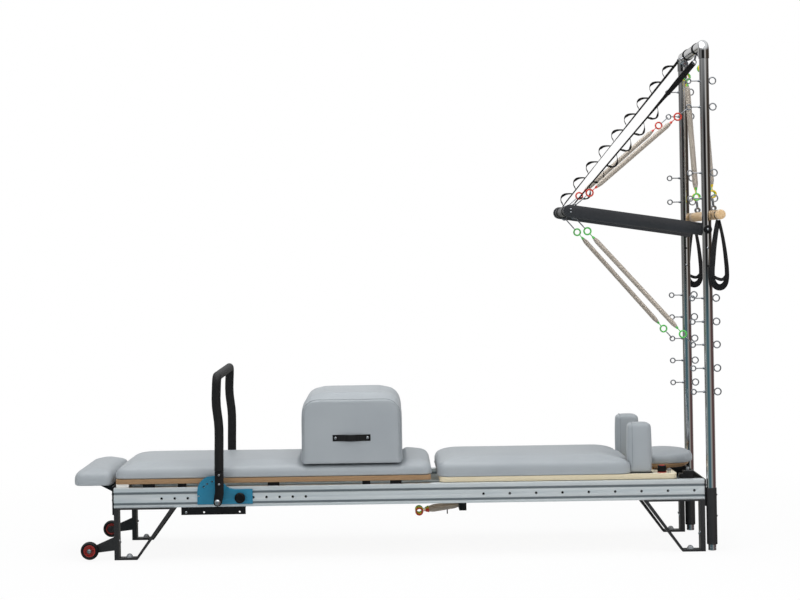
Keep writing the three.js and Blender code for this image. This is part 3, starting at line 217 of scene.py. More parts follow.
def softened(bm, edges, width, segments=2):
    """Rounds sharp edges over."""
    bmesh.ops.bevel(bm, geom=edges, offset=width, segments=segments, profile=0.5, affect="EDGES",
                    clamp_overlap=True, material=-1)


def edged(node, name, material, soft=0.0008):
    """A rigid piece's own form with its sharp corners broken, as they leave the workshop."""
    bm = bmesh.new()
    bm.from_mesh(frame["nodes"][node].data)
    bmesh.ops.remove_doubles(bm, verts=bm.verts, dist=SAME_POINT)
    bmesh.ops.dissolve_limit(bm, angle_limit=math.radians(1), verts=bm.verts, edges=bm.edges)
    sharp = [e for e in bm.edges if len(e.link_faces) == 2 and e.calc_face_angle() > math.radians(30)]
    softened(bm, sharp, soft)
    return shown(name, bm, material, frame["nodes"][node]["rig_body"], [node])


GROOVES = ((0.2225, 0.0030), (0.2648, 0.0034))
rail_low, rail_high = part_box("near_rail")


def anodised():
    """Brushed aluminium, with painted shade darkening the two grooves and a band beside each."""
    made, tree, shader, place = surface("Anodised aluminium", 0.4, 0.45)
    brushed = grouped(tree, GRAIN, {"Vector": place, "Stretch": (3, 2600, 2600), "Depth": 0.00001})
    broad = grouped(tree, GRAIN, {"Vector": place, "Stretch": (1.3, 1.3, 1.3), "Depth": 0.0})
    paint = mixed(tree, ranged(tree, broad["Value"], 0.35, 0.65), rgb("e6ebed"), rgb("dce3e6"))
    paint = mixed(tree, ranged(tree, brushed["Value"], 0.3, 0.7, 0.0, 0.3), paint, rgb("c8d1d4"))
    parts = put(tree, "SeparateXYZ", {0: place}).outputs
    # Painted shade: the two grooves and a soft band beside each are darkened towards 5f6a70.
    groove_shade = 0.0
    for height, half in GROOVES:
        off = sums(tree, "ABSOLUTE", sums(tree, "SUBTRACT", parts["Z"], height))
        groove_shade = sums(tree, "MAXIMUM", ranged(tree, off, half, half + 0.0035, 0.85, 0.0), groove_shade)
    paint = mixed(tree, groove_shade, paint, rgb("5f6a70"))
    edge = grouped(tree, RUBBED, {"Vector": place, "Radius": 0.0012})
    paint = mixed(tree, edge["Mask"], paint, rgb("e6ebec"))
    rough = ranged(tree, brushed["Value"], 0.3, 0.7, 0.3, 0.44)
    fed(tree, shader, {"Base Color": paint, "Roughness": rough, "Normal": brushed["Normal"]})
    return made


ALUMINIUM = anodised()
for side, label in SIDES:
    edged(f"{label}_rail", f"{label}_rail_extrusion", ALUMINIUM, RAIL_EDGE)


# ---- End plates ------------------------------------------------------------------------------
# Laser-cut steel plates, powder coated black and held on with button-head screws. They close
# the rails' ends and carry the foot pad's flange and the carriage's stops with their bright
# tabs. Black bushes line the rails' two rows of holes.
SCREW_HEAD = 0.0055
SAME_TURNED_POINT = 0.000005


def once(things):
    """Each of some things once, in their order."""
    return list(dict.fromkeys(things))


def facing(at, axis):
    """A place whose own Z runs along an axis."""
    return Matrix.Translation(Vector(at)) @ Vector(axis).to_track_quat("Z", "Y").to_matrix().to_4x4()


def barrel(bm, start, end, radius, end_radius=None, steps=32, soft=0.0):
    """A round bar between two points, its rims rounded over."""
    start, end = Vector(start), Vector(end)
    made = bmesh.ops.create_cone(bm, cap_ends=True, cap_tris=False, segments=steps, radius1=radius,
                                 radius2=radius if end_radius is None else end_radius,
                                 depth=(end - start).length, matrix=facing((start + end) / 2, end - start))
    if soft:
        caps = once(f for v in made["verts"] for f in v.link_faces if len(f.verts) == steps)
        softened(bm, once(e for f in caps for e in f.edges), soft, 3)


def brick(bm, low, high, soft=0.0):
    """A rectangular block between two corners."""
    low, high = Vector(low), Vector(high)
    place = Matrix.Translation((low + high) / 2) @ Matrix.Diagonal((*(high - low), 1.0))
    made = bmesh.ops.create_cube(bm, size=1.0, matrix=place)
    if soft:
        softened(bm, once(e for v in made["verts"] for e in v.link_edges), soft)


def spun(bm, profile, place, steps):
    """Carries a profile once round the Z of its place."""
    bmesh.ops.spin(bm, geom=profile, cent=place.translation, axis=place.to_3x3() @ Vector((0, 0, 1)),
                   angle=2 * math.pi, steps=steps, use_merge=True)


def turned(bm, profile, start, axis, steps=32):
    """A lathe-turned form: (radius, distance along the axis) pairs spun round it."""
    place = facing(start, axis)
    line = [bm.verts.new(place @ Vector((r, 0, z))) for r, z in profile]
    spun(bm, [*line, *[bm.edges.new(pair) for pair in zip(line, line[1:])]], place, steps)
    bmesh.ops.remove_doubles(bm, verts=bm.verts, dist=SAME_TURNED_POINT)


def screw(bm, at, axis, radius=SCREW_HEAD):
    """A button-head screw with a socket, standing on a face."""
    head = ((0, 0.3), (0.35, 0.3), (0.4, 0.65), (0.75, 0.5), (1, 0.1), (1, -0.1), (0, -0.1))
    turned(bm, [(radius * out, radius * up) for out, up in head], at, axis, 16)


BLACK_STEEL = finish("Black powder coat", "131314", "19191b", 0.4, stretch=1100, depth=0.00008,
                     worn="353537", coat=0.05, gloss=0.25)
SCREW_STEEL = finish("Zinc screws", "c9ccd0", "a9adb2", 0.28, 0.95, stretch=700, depth=0.00002)
KNOB_PLASTIC = finish("Black moulded plastic", "0e0e0f", "151517", 0.45, stretch=700, depth=0.00008,
                      gloss=0.2)
RAIL_FACE = 0.29
PLATE_FACE = 0.0063
PLATE_SCREW_Y, PLATE_SCREW_HEIGHTS = 0.272, (0.03, 0.055)
HOLE_HEIGHT = 0.243
HOLE_ROWS = ((192.0, 52.5, 12), (1479.0, 105.0, 9))
BUSH_RADIUS = 0.0056
BUSH = [(0, -0.002), (0.0036, -0.002), (0.004, 0.0001), (BUSH_RADIUS - 0.0003, 0.0001),
        (BUSH_RADIUS, -0.0003), (BUSH_RADIUS, -0.0026), (0, -0.0026)]
for side, label in SIDES:
    bushes = bmesh.new()
    for start, step, count in HOLE_ROWS:
        for i in range(count):
            x = rail_low.x + (start + i * step) / 1000
            turned(bushes, BUSH, (x, side * RAIL_FACE, HOLE_HEIGHT), (0, side, 0), 16)
    shown(f"{label}_rail_bushes", bushes, KNOB_PLASTIC, "frame")
edged("foot_end_plate", "foot_end_plate_coated", BLACK_STEEL)
head_plate = edged("head_end_plate", "head_end_plate_coated", BLACK_STEEL)
head_plate_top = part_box("head_end_plate")[1].z
STOP_TOP = 0.316
STOP_SPAN = 0.231
for v in head_plate.data.vertices:
    if v.co.z > STOP_TOP:
        v.co.z += STOP_TOP - head_plate_top
stop_tabs, screws = bmesh.new(), bmesh.new()
for side, label in SIDES:
    brick(stop_tabs, (rail_high.x - 0.0632, side * STOP_SPAN - 0.0015, STOP_TOP - 0.002),
          (rail_high.x - 0.0512, side * STOP_SPAN + 0.0015, STOP_TOP + 0.014), 0.0006)
    for z in PLATE_SCREW_HEIGHTS:
        for x, way in ((rail_low.x - PLATE_FACE, -1), (rail_high.x + PLATE_FACE, 1)):
            screw(screws, (x, side * PLATE_SCREW_Y, rail_low.z + z), (way, 0, 0))
shown("stop_tabs", stop_tabs, SCREW_STEEL, "frame")
shown("end_plate_screws", screws, SCREW_STEEL, "frame")


# ---- Legs ------------------------------------------------------------------------------------
# Flat steel bar folded into a frame, powder coated black, with a brace back to the rail. Each
# stands on a levelling foot under a grey dome and is held with two bright screws.
LEG_STEEL = finish("Satin black powder coat", "2b2b2c", "333334", 0.45, depth=0.00008, worn="505052", gloss=0.3)
GREY_PLASTIC = finish("Grey moulded plastic", "a9adb0", "9ca0a4", 0.42, stretch=600)
LEVELLER_X, LEVELLER_Y = 0.058, 0.271
LEVELLER_DOME = [(0, 0.0235), (0.0045, 0.0228), (0.0085, 0.0204), (0.0115, 0.0165), (0.0134, 0.0115),
                 (0.0138, 0.0082), (0, 0.0082)]
LEG_SCREWS = ((0.288, 0.077), (0.264, 0.068))
LEG_SCREW_X, LEG_SCREW_HEAD = 0.02, 0.0065
for side, label in SIDES:
    for end in ("foot", "head"):
        edged(f"{label}_{end}_leg", f"{label}_{end}_leg_coated", LEG_STEEL, 0.0012)
levellers, leg_screws = bmesh.new(), bmesh.new()
for side, label in SIDES:
    for edge, way in ((rail_low.x, 1), (rail_high.x, -1)):
        turned(levellers, LEVELLER_DOME, (edge + way * LEVELLER_X, side * LEVELLER_Y, 0), (0, 0, 1), 24)
        for y, z in LEG_SCREWS:
            screw(leg_screws, (edge + way * LEG_SCREW_X, side * y, z), (way, 0, 0), LEG_SCREW_HEAD)
shown("leveller_domes", levellers, GREY_PLASTIC, "frame")
shown("leg_screws", leg_screws, SCREW_STEEL, "frame")


# ---- Transport wheels ------------------------------------------------------------------------
# Two wheels at the foot end to roll the unit on: a black rubber tyre on a red moulded hub with
# five spokes, on a steel axle with a bright cap.
ACROSS = (0, 1, 0)
TYRE_RADIUS = 0.036
TYRE_HALF = 0.014
HUB_RADIUS = 0.024
WHEEL_SPOKES = 5
TYRE = finish("Black tyre rubber", "101012", "19191b", 0.55, stretch=500, depth=0.0001, gloss=0.3)
RED_HUB = finish("Red moulded hub", "b52f25", "9c241d", 0.35, stretch=400, depth=0.00004, coat=0.3)


def both_ways(half, middle=()):
    """A lathe profile and its mirror image, with what lies between the two."""
    return [*half, *middle, *[(r, -z) for r, z in reversed(half)]]


def band(inner, outer, low, high):
    """The closed lathe profile of a plain band."""
    return [(inner, low), (outer, low), (outer, high), (inner, high), (inner, low)]


TREAD = both_ways([(HUB_RADIUS, -TYRE_HALF + 0.003), (HUB_RADIUS + 0.003, -TYRE_HALF + 0.001),
                   (TYRE_RADIUS - 0.006, -TYRE_HALF), (TYRE_RADIUS - 0.0015, -TYRE_HALF + 0.004),
                   (TYRE_RADIUS, -0.004), (TYRE_RADIUS, -0.002)], [(TYRE_RADIUS - 0.001, 0)])
HUB_BANDS = ((band(0.0066, 0.0115, -TYRE_HALF + 0.002, TYRE_HALF - 0.002), 32),
             (band(HUB_RADIUS - 0.004, HUB_RADIUS - 0.0002, -TYRE_HALF + 0.005, TYRE_HALF - 0.005), 40),
             (band(0.0112, HUB_RADIUS - 0.0038, -0.002, 0.002), 40))
AXLE_CAP = [(0, 0.0018), (0.004, 0.0018), (0.006, 0.0008), (0.0075, 0), (0.0075, -0.0008), (0, -0.0008)]
for side, label in SIDES:
    name = f"{label}_transport_wheel"
    low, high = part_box(name)
    centre = (low + high) / 2
    tyre, hub, cap = bmesh.new(), bmesh.new(), bmesh.new()
    turned(tyre, [*TREAD, TREAD[0]], centre, ACROSS, 48)
    shown(f"{label}_tyre", tyre, TYRE, name, [name])
    for profile, steps in HUB_BANDS:
        turned(hub, profile, centre, ACROSS, steps)
    for i in range(WHEEL_SPOKES):
        angle = 2 * math.pi * i / WHEEL_SPOKES + 0.3
        out = Vector((math.cos(angle), 0, math.sin(angle)))
        barrel(hub, centre + out * 0.0108, centre + out * (HUB_RADIUS - 0.0035), 0.0042, 0.0034, 8)
    shown(f"{label}_wheel_hub", hub, RED_HUB, name)
    face = side * (abs(centre.y) + TYRE_HALF + 0.0033)
    turned(cap, AXLE_CAP, (centre.x, face, centre.z), (0, side, 0), 32)
    shown(f"{label}_axle_cap", cap, SCREW_STEEL, "frame")


# ---- Tower sleeves ---------------------------------------------------------------------------
# Black steel cups bolted to the head end plate, in which the tower's tubes stand. Each has a
# bright screw-down foot at its lower end and a side screw that holds the tube.
SLEEVE_RADIUS = 0.021
SLEEVE_BORE = 0.0195
SLEEVE_TOP = 0.252
SLEEVE_BOTTOM = 0.027
SLEEVE_CUP = [(0, SLEEVE_BOTTOM + 0.006), (SLEEVE_BORE, SLEEVE_BOTTOM + 0.006), (SLEEVE_BORE, SLEEVE_TOP - 0.001),
              (SLEEVE_BORE + 0.0007, SLEEVE_TOP), (SLEEVE_RADIUS - 0.0006, SLEEVE_TOP),
              (SLEEVE_RADIUS, SLEEVE_TOP - 0.0006), (SLEEVE_RADIUS, SLEEVE_BOTTOM + 0.001),
              (SLEEVE_RADIUS - 0.001, SLEEVE_BOTTOM), (0, SLEEVE_BOTTOM)]
SLEEVE_FOOT = [(0, 0.003), (0.0148, 0.003), (0.016, 0.0042), (0.016, 0.0135), (0.0152, 0.0143), (0.0152, 0.0157),
               (0.016, 0.0165), (0.016, SLEEVE_BOTTOM - 0.0003), (0, SLEEVE_BOTTOM - 0.0003)]
for side, label in SIDES:
    low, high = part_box(f"{label}_tower_sleeve")
    centre = (low + high) / 2
    base = Vector((centre.x, centre.y, 0))
    cup, foot, lock = bmesh.new(), bmesh.new(), bmesh.new()
    turned(cup, SLEEVE_CUP, base, (0, 0, 1), 48)
    shown(f"{label}_sleeve_cup", cup, LEG_STEEL, "frame", [f"{label}_tower_sleeve"])
    turned(foot, SLEEVE_FOOT, base, (0, 0, 1), 40)
    shown(f"{label}_sleeve_foot", foot, SCREW_STEEL, "frame")
    for z in (SLEEVE_TOP - 0.028, 0.14):
        screw(lock, (centre.x + SLEEVE_RADIUS + 0.0003, centre.y, z), (1, 0, 0), 0.004)
    shown(f"{label}_sleeve_screws", lock, SCREW_STEEL, "frame")


# ---- Tower posts -----------------------------------------------------------------------------
# Polished chrome tubes with an eyebolt through them at nine heights: a small eye on a stem with
# a cone nut on the bed's side, and a larger ring against the tube behind.
TOWER_TOP = 2.041
POST_RADIUS = 0.019
POST_TUBE_TOP = 1.9647
POST_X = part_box("near_tower_sleeve")[0].x + SLEEVE_RADIUS
EYE_HEIGHTS = [share * TOWER_TOP for share in (0.311, 0.357, 0.403, 0.448, 0.494, 0.689, 0.739, 0.868, 0.919)]
EYE_WIRE = 0.0027
FRONT_EYE = (0.063, 0.0098)
BACK_RING = (0.0325, 0.0133)
CONE_NUT = [(0, 0.0095), (0.0024, 0.0095), (0.0042, 0.006), (0.0052, 0.002), (0.0052, -0.001), (0, -0.001)]
PIVOT_Z = 1.282
SPARE_DROPS = (0.0735, 0.146)


def ring(bm, centre, normal, radius, wire, steps=28, sides=8):
    """A ring of round wire."""
    place = facing(centre, normal)
    upright = Matrix.Translation((radius, 0, 0)) @ Matrix.Rotation(math.pi / 2, 4, "X")
    made = bmesh.ops.create_circle(bm, cap_ends=False, segments=sides, radius=wire, matrix=place @ upright)
    spun(bm, [*made["verts"], *once(e for v in made["verts"] for e in v.link_edges)], place, steps)


CHROME = finish("Polished chrome", "dadada", "d0d0d1", 0.06, 1.0, stretch=(60, 60, 6), depth=0.0,
                spread=0.02, drift=(8, 8, 1.5))
EYE_STEEL = finish("Bright eyebolt steel", "a6a8ac", "85878c", 0.3, 0.8, stretch=400, depth=0.00002, spread=0.05)
# Painted shade: the spare holes through the posts are not cut, and this near-black stands for the shade inside each
# open bore.
BORE_SHADE = finish("Painted bore shade", "0c0c0d", "131315", 0.8, stretch=300)
for side, label in SIDES:
    low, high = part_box(f"{label}_tower_sleeve")
    y = (low.y + high.y) / 2
    tube, eyes, bores, spare = bmesh.new(), bmesh.new(), bmesh.new(), bmesh.new()
    barrel(tube, (POST_X, y, SLEEVE_BOTTOM + 0.0065), (POST_X, y, POST_TUBE_TOP), POST_RADIUS, steps=64, soft=0.0006)
    shown(f"{label}_post_tube", tube, CHROME, "frame", [f"{label}_post"])
    for z in EYE_HEIGHTS:
        turned(eyes, CONE_NUT, (POST_X - POST_RADIUS, y, z), (-1, 0, 0), 12)
        for way, (reach, radius), stem in ((-1, FRONT_EYE, 0.0024), (1, BACK_RING, 0.0035)):
            barrel(eyes, (POST_X + way * (POST_RADIUS - 0.001), y, z),
                   (POST_X + way * (reach - radius + 0.001), y, z), stem, steps=10)
            ring(eyes, (POST_X + way * reach, y, z), ACROSS, radius, EYE_WIRE)
    shown(f"{label}_eyebolts", eyes, EYE_STEEL, "frame")
    # Painted shade: a thin dark disc on each face of the tube where a spare hole goes through.
    for z in [PIVOT_Z - drop for drop in SPARE_DROPS]:
        for way in (side, -side):
            face = y + way * (POST_RADIUS - 0.001)
            barrel(bores, (POST_X, face, z), (POST_X, face + way * 0.0013, z), 0.004, steps=16)
    shown(f"{label}_post_bores", bores, BORE_SHADE, "frame")
    filled = PIVOT_Z - SPARE_DROPS[0 if side < 0 else 1]
    screw(spare, (POST_X, y - POST_RADIUS - 0.0004, filled), (0, -1, 0), 0.0045)
    shown(f"{label}_post_screw", spare, SCREW_STEEL, "frame")


# ---- Top crossbar ----------------------------------------------------------------------------
# One chrome tube bent over both posts and sleeved on to them, with four eyes under it for the
# roll-down bar's springs.
CROSSBAR_RADIUS = 0.0215
CROSSBAR_FOOT = 1.9650
EYE_RADIUS = 0.009
POST_SPAN = 0.281
HANGERS = ((0.214, "yellow"), (0.188, "green"))


def rounded(points, radius, steps=10):
    """A polyline with its corners turned into arcs."""
    points = [Vector(p) for p in points]
    line = [points[0]]
    for before, corner, after in zip(points, points[1:], points[2:]):
        a, b = (before - corner).normalized(), (after - corner).normalized()
        turn = math.pi - a.angle(b)
        if turn < 0.02:
            line.append(corner)
            continue
        reach = min(radius * math.tan(turn / 2), (before - corner).length * 0.49, (after - corner).length * 0.49)
        bend = reach / math.tan(turn / 2)
        centre = corner + (a + b).normalized() * (bend / math.cos(turn / 2))
        first, last = corner + a * reach - centre, corner + b * reach - centre
        count = max(2, round(steps * turn / (math.pi / 2)))
        line += [centre + first.slerp(last, i / count) * bend for i in range(count + 1)]
    return [*line, points[-1]]


def applied(made):
    """The mesh of a piece as its modifiers leave it."""
    mesh = bpy.data.meshes.new_from_object(made.evaluated_get(bpy.context.evaluated_depsgraph_get()))
    made.modifiers.clear()
    return mesh


def piped(bm, points, radius, sides=16, closed=False):
    """A tube or wire swept along a line of points."""
    curve = bpy.data.curves.new("sweep", "CURVE")
    curve.dimensions = "3D"
    curve.bevel_depth = radius
    curve.bevel_resolution = max(0, sides // 2 - 2)
    curve.use_fill_caps = not closed
    line = curve.splines.new("POLY")
    line.points.add(len(points) - 1)
    for point, place in zip(line.points, points):
        point.co = (*place, 1.0)
    line.use_cyclic_u = closed
    holder = bpy.data.objects.new("sweep", curve)
    scene.collection.objects.link(holder)
    mesh = applied(holder)
    bm.from_mesh(mesh)
    bpy.data.objects.remove(holder)
    bpy.data.curves.remove(curve)
    bpy.data.meshes.remove(mesh)
    bmesh.ops.remove_doubles(bm, verts=bm.verts, dist=SAME_TURNED_POINT)


crossbar, crossbar_eyes = bmesh.new(), bmesh.new()
top = TOWER_TOP - CROSSBAR_RADIUS
route = [(POST_X, -POST_SPAN, CROSSBAR_FOOT), (POST_X, -POST_SPAN, top),
         (POST_X, POST_SPAN, top), (POST_X, POST_SPAN, CROSSBAR_FOOT)]
piped(crossbar, rounded(route, 0.032, 12), CROSSBAR_RADIUS, 48)
shown("crossbar_tube", crossbar, CHROME, "frame", ["top_crossbar"], 50)
HANGER_Z = top - CROSSBAR_RADIUS - EYE_RADIUS
for side, label in SIDES:
    for half_span, colour in HANGERS:
        y = side * half_span
        barrel(crossbar_eyes, (POST_X, y, HANGER_Z + EYE_RADIUS - 0.0005), (POST_X, y, HANGER_Z + EYE_RADIUS + 0.003),
               0.0045, steps=12)
        ring(crossbar_eyes, (POST_X, y, HANGER_Z), ACROSS, EYE_RADIUS, EYE_WIRE)
shown("crossbar_eyes", crossbar_eyes, EYE_STEEL, "frame")


# ---- Spring bar and its angles ---------------------------------------------------------------
# Two black steel angles screwed under the rails, and between them the round bar, turned down at
# its ends, that the carriage springs hook to.
gear_bar, gear_screws = bmesh.new(), bmesh.new()
for side, label in SIDES:
    edged(f"{label}_gear_rail", f"{label}_gear_angle", BLACK_STEEL, 0.0006)
low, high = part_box("spring_bar")
centre = (low + high) / 2
for radius, inset, steps, soft in ((0.008, 0.0043, 32, 0.001), (0.003, 0, 16, 0.0005)):
    barrel(gear_bar, (centre.x, low.y + inset, centre.z), (centre.x, high.y - inset, centre.z), radius,
           steps=steps, soft=soft)
shown("spring_bar_round", gear_bar, BLACK_STEEL, "frame", ["spring_bar"])
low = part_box("near_gear_rail")[0]
for side, label in SIDES:
    screw(gear_screws, (low.x + 0.020, side * (RAIL_FACE + 0.0003), low.z + 0.010), (0, side, 0), 0.0062)
shown("gear_screws", gear_screws, SCREW_STEEL, "frame")


# ---- Upholstered pads ------------------------------------------------------------------------
# Foam on a board in grey vinyl: the foot pad, the infill mat, the carriage's cushion, the
# shoulder rests and the headrest. The cover is pulled down at the corners and stapled
# underneath, and each shoulder rest has a sewn seam round its foot side.
VOXEL = 0.006
FLAT_VOXEL = 0.008
COVER_PRESSURE = 4.0
CLOTH_FRAMES = 20


def vinyl_group():
    """Fine leather-like cells, soft drift of shade and the slight unevenness of foam."""
    gives = [("Shade", "Float"), ("Gloss", "Float"), ("Normal", "Vector")]
    tree, given, result = shared("Vinyl", [("Vector", "Vector")], gives)
    cells = put(tree, "TexVoronoi", {"Vector": given["Vector"], "Scale": 620.0, "Randomness": 1.0},
                feature="DISTANCE_TO_EDGE")
    crease = ranged(tree, cells.outputs["Distance"], 0.0, 0.18)
    slack = put(tree, "TexNoise", {"Vector": given["Vector"], "Scale": 9.0, "Detail": 3.0, "Roughness": 0.5})
    fine = put(tree, "TexNoise", {"Vector": given["Vector"], "Scale": 1500.0, "Detail": 2.0})
    first = put(tree, "Bump", {"Strength": 0.35, "Distance": 0.004, "Height": slack.outputs[0]})
    second = put(tree, "Bump", {"Strength": 0.5, "Distance": 0.00012, "Height": crease, "Normal": first.outputs[0]})
    third = put(tree, "Bump", {"Strength": 0.3, "Distance": 0.00005, "Height": fine.outputs[0],
                               "Normal": second.outputs[0]})
    drift = put(tree, "TexNoise", {"Vector": given["Vector"], "Scale": 4.0, "Detail": 4.0})
    shade = ranged(tree, drift.outputs[0], 0.3, 0.7)
    gloss = sums(tree, "MULTIPLY_ADD", crease, -0.08, 0.46)
    fed(tree, result, {"Shade": shade, "Gloss": gloss, "Normal": third.outputs[0]})
    return tree


VINYL_GROUP = vinyl_group()


def vinyl(name, colour, other):
    """Upholsterer's vinyl that drifts between two shades."""
    made, tree, shader, place = surface(name, 0.45)
    look = grouped(tree, VINYL_GROUP, {"Vector": place})
    shade = mixed(tree, look["Shade"], rgb(colour), rgb(other))
    fed(tree, shader, {"Base Color": shade, "Roughness": look["Gloss"], "Normal": look["Normal"],
                       "Sheen Weight": 0.08})
    return made


GREY_VINYL = vinyl("Grey vinyl", "a6acb0", "9fa5aa")


def limited(value, low=0.0, high=1.0):
    """A value kept between two others."""
    return max(low, min(high, value))


def swollen(mesh, cap, rest_height):
    """Blows the cover up as cloth, keeps each point within the cap and the base flat, and applies it."""
    start = np.array([v.co for v in mesh.data.vertices])
    group = mesh.vertex_groups.new(name="held")
    group.add([i for i, p in enumerate(start) if p[2] < rest_height], 1.0, "REPLACE")
    cloth = mesh.modifiers.new("cover", "CLOTH")
    cloth.settings.quality = 4
    cloth.settings.mass = 0.4
    cloth.settings.tension_stiffness = 25
    cloth.settings.compression_stiffness = 25
    cloth.settings.bending_stiffness = 6
    cloth.settings.use_pressure = True
    cloth.settings.uniform_pressure_force = COVER_PRESSURE
    cloth.settings.effector_weights.gravity = 0
    cloth.settings.vertex_group_mass = "held"
    cloth.collision_settings.use_collision = False
    cloth.point_cache.frame_start = 1
    cloth.point_cache.frame_end = CLOTH_FRAMES
    for moment in range(1, CLOTH_FRAMES + 1):
        scene.frame_set(moment)
    done = mesh.evaluated_get(bpy.context.evaluated_depsgraph_get()).to_mesh()
    end = np.array([v.co for v in done.vertices])
    mesh.modifiers.clear()
    scene.frame_set(1)
    move = end - start
    length = np.linalg.norm(move, axis=1, keepdims=True)
    move *= np.minimum(1.0, cap / np.maximum(length, 1e-9))
    end = start + move
    end[:, 2] = np.maximum(end[:, 2], start[:, 2].min())
    mesh.data.vertices.foreach_set("co", end.astype(np.float32).ravel())
    mesh.data.update()


def crowned(low, high, crown, flat=None):
    """How far the foam stands up at a point: full over the middle, nothing at the edges or where a load rests."""
    middle, half = (low + high) / 2, (high - low) / 2

    def rise(point):
        across = abs(point.y - middle.y) / half.y
        length = abs(point.x - middle.x) / half.x
        up = max(0.0, (point.z - low.z) / (high.z - low.z))
        height = crown * (1 - min(1.0, across) ** 7) * (1 - min(1.0, length) ** 16) * up
        if flat:
            beside = max(flat[0] - point.x, point.x - flat[1], abs(point.y) - flat[2])
            height *= limited(beside / 0.012)
        return height

    return rise


def narrowed(verts, within):
    """Keeps a cover's sides in."""
    for v in verts:
        v.co.y = limited(v.co.y, -within, within)


def upholstered(node, name, cap=0.006, voxel=VOXEL, relax=3, crown=0.0, flat=None, within=None, drawn=None):
    """A cushion in its cover, from the size of its solid."""
    source = frame["nodes"][node]
    low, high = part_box(node)
    bm = bmesh.new()
    bm.from_mesh(source.data)
    bmesh.ops.remove_doubles(bm, verts=bm.verts, dist=SAME_POINT)
    if within:
        narrowed(bm.verts, within)
    mesh = bpy.data.meshes.new(name)
    bm.to_mesh(mesh)
    bm.free()
    made = bpy.data.objects.new(name, mesh)
    scene.collection.objects.link(made)
    remesh = made.modifiers.new("even", "REMESH")
    remesh.mode = "VOXEL"
    remesh.voxel_size = voxel
    even = applied(made)
    made.data = even
    bm = bmesh.new()
    bm.from_mesh(even)
    for step in range(relax):
        bmesh.ops.smooth_vert(bm, verts=[v for v in bm.verts if v.co.z > low.z + voxel], factor=0.5,
                              use_axis_x=True, use_axis_y=True, use_axis_z=True)
    for v in bm.verts:
        v.co = Vector([limited(at, least, most) for at, least, most in zip(v.co, low, high)])
    rise = crowned(low, high, crown, flat)
    for v in bm.verts:
        v.co = drawn(v.co) if drawn else v.co + Vector((0, 0, rise(v.co)))
    bm.to_mesh(even)
    bm.free()
    swollen(made, cap, low.z + 0.004)
    if within:
        narrowed(made.data.vertices, within)
    fine = made.modifiers.new("fine", "SUBSURF")
    fine.levels = fine.render_levels = 1
    smooth = applied(made)
    made.data = smooth
    smooth.name = name
    smooth.materials.clear()
    smooth.materials.append(GREY_VINYL)
    smooth.shade_smooth()
    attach(made, source["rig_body"])
    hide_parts(node)
    return made


box_low, box_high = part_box("sitting_box")
upholstered("foot_pad", "foot_pad_cushion", cap=0.004, crown=0.011)
upholstered("mat_cushion", "mat_cushion_cover", cap=0.004, voxel=FLAT_VOXEL, crown=0.013,
            flat=(box_low.x - 0.004, box_high.x + 0.004, 0.285))
CORNER_REACH = 0.021
TONGUE_REACH = 0.026
NOSE_REACH = 0.011
carriage_low, carriage_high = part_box("carriage_cushion")
headrest_low, headrest_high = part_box("headrest_cushion")
carriage_rise = crowned(carriage_low, carriage_high, 0.012)
headrest_rise = crowned(headrest_low, headrest_high, 0.009)


def full_corners(point):
    """The carriage cushion's head end reaches past the shoulder rests at its corners and between them."""
    beside = limited((abs(point.y) - 0.205) / 0.045)
    between = limited((0.150 - abs(point.y)) / 0.04)
    ending = limited((point.x - carriage_high.x + 0.075) / 0.075)
    return point + Vector(((CORNER_REACH * beside + TONGUE_REACH * between) * ending, 0, carriage_rise(point)))


def long_nosed(point):
    """The headrest's cover comes a little past its board at the rounded end."""
    ending = limited((point.x - headrest_low.x) / (headrest_high.x - headrest_low.x))
    return point + Vector((NOSE_REACH * ending, 0, headrest_rise(point)))


upholstered("carriage_cushion", "carriage_cushion_cover", cap=0.004, voxel=FLAT_VOXEL, drawn=full_corners)
upholstered("near_shoulder_rest", "near_shoulder_rest_cover", cap=0.003)
upholstered("far_shoulder_rest", "far_shoulder_rest_cover", cap=0.003)
WELT_RADIUS = 0.0012
REST_SEAM_FOOT = box_low.z - 0.0573
# The welts are real seams. Their vinyl is darker than the cover as painted shade along the seam line.
SEAM_SHADE_VINYL = vinyl("Grey vinyl seam with painted shade", "868d92", "7d848a")
for side, label in SIDES:
    low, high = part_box(f"{label}_shoulder_rest")
    x, y0, y1, top = low.x + 0.016, low.y + WELT_RADIUS, high.y - WELT_RADIUS, high.z - WELT_RADIUS
    panel = [(x, y0, REST_SEAM_FOOT), (x, y1, REST_SEAM_FOOT), (x, y1, top), (x, y0, top)]
    seams = bmesh.new()
    piped(seams, rounded([*panel, *panel[:2]], 0.022, 6)[1:-1], WELT_RADIUS, 8, closed=True)
    shown(f"{label}_shoulder_rest_seams", seams, SEAM_SHADE_VINYL, f"{label}_shoulder_rest")
upholstered("headrest_cushion", "headrest_cushion_cover", cap=0.004, drawn=long_nosed)


# ---- Sitting box -------------------------------------------------------------------------------
# A foam-covered wooden box in the same vinyl. Its wrap is sewn to a flat panel at either end, on
# the bed's two sides, and each panel carries a webbing handle.
BOX_HALF_WIDTH = 0.285
BOX_CORNER = 0.062
PANEL_DROP = 0.020
PANEL_TUCK = 0.004


def wrapped(point):
    """The box's wrap stands up full over the middle and comes down to the end panels' seam."""
    share = limited((abs(point.y) / BOX_HALF_WIDTH - 0.66) / 0.34)
    share = share * share * (3 - 2 * share)
    up = (point.z - box_low.z) / (box_high.z - box_low.z)
    along = (point.x - (box_low.x + box_high.x) / 2) / ((box_high.x - box_low.x) / 2)
    return Vector((point.x - along * PANEL_TUCK * share * up, point.y, point.z - PANEL_DROP * share * up ** 1.5))


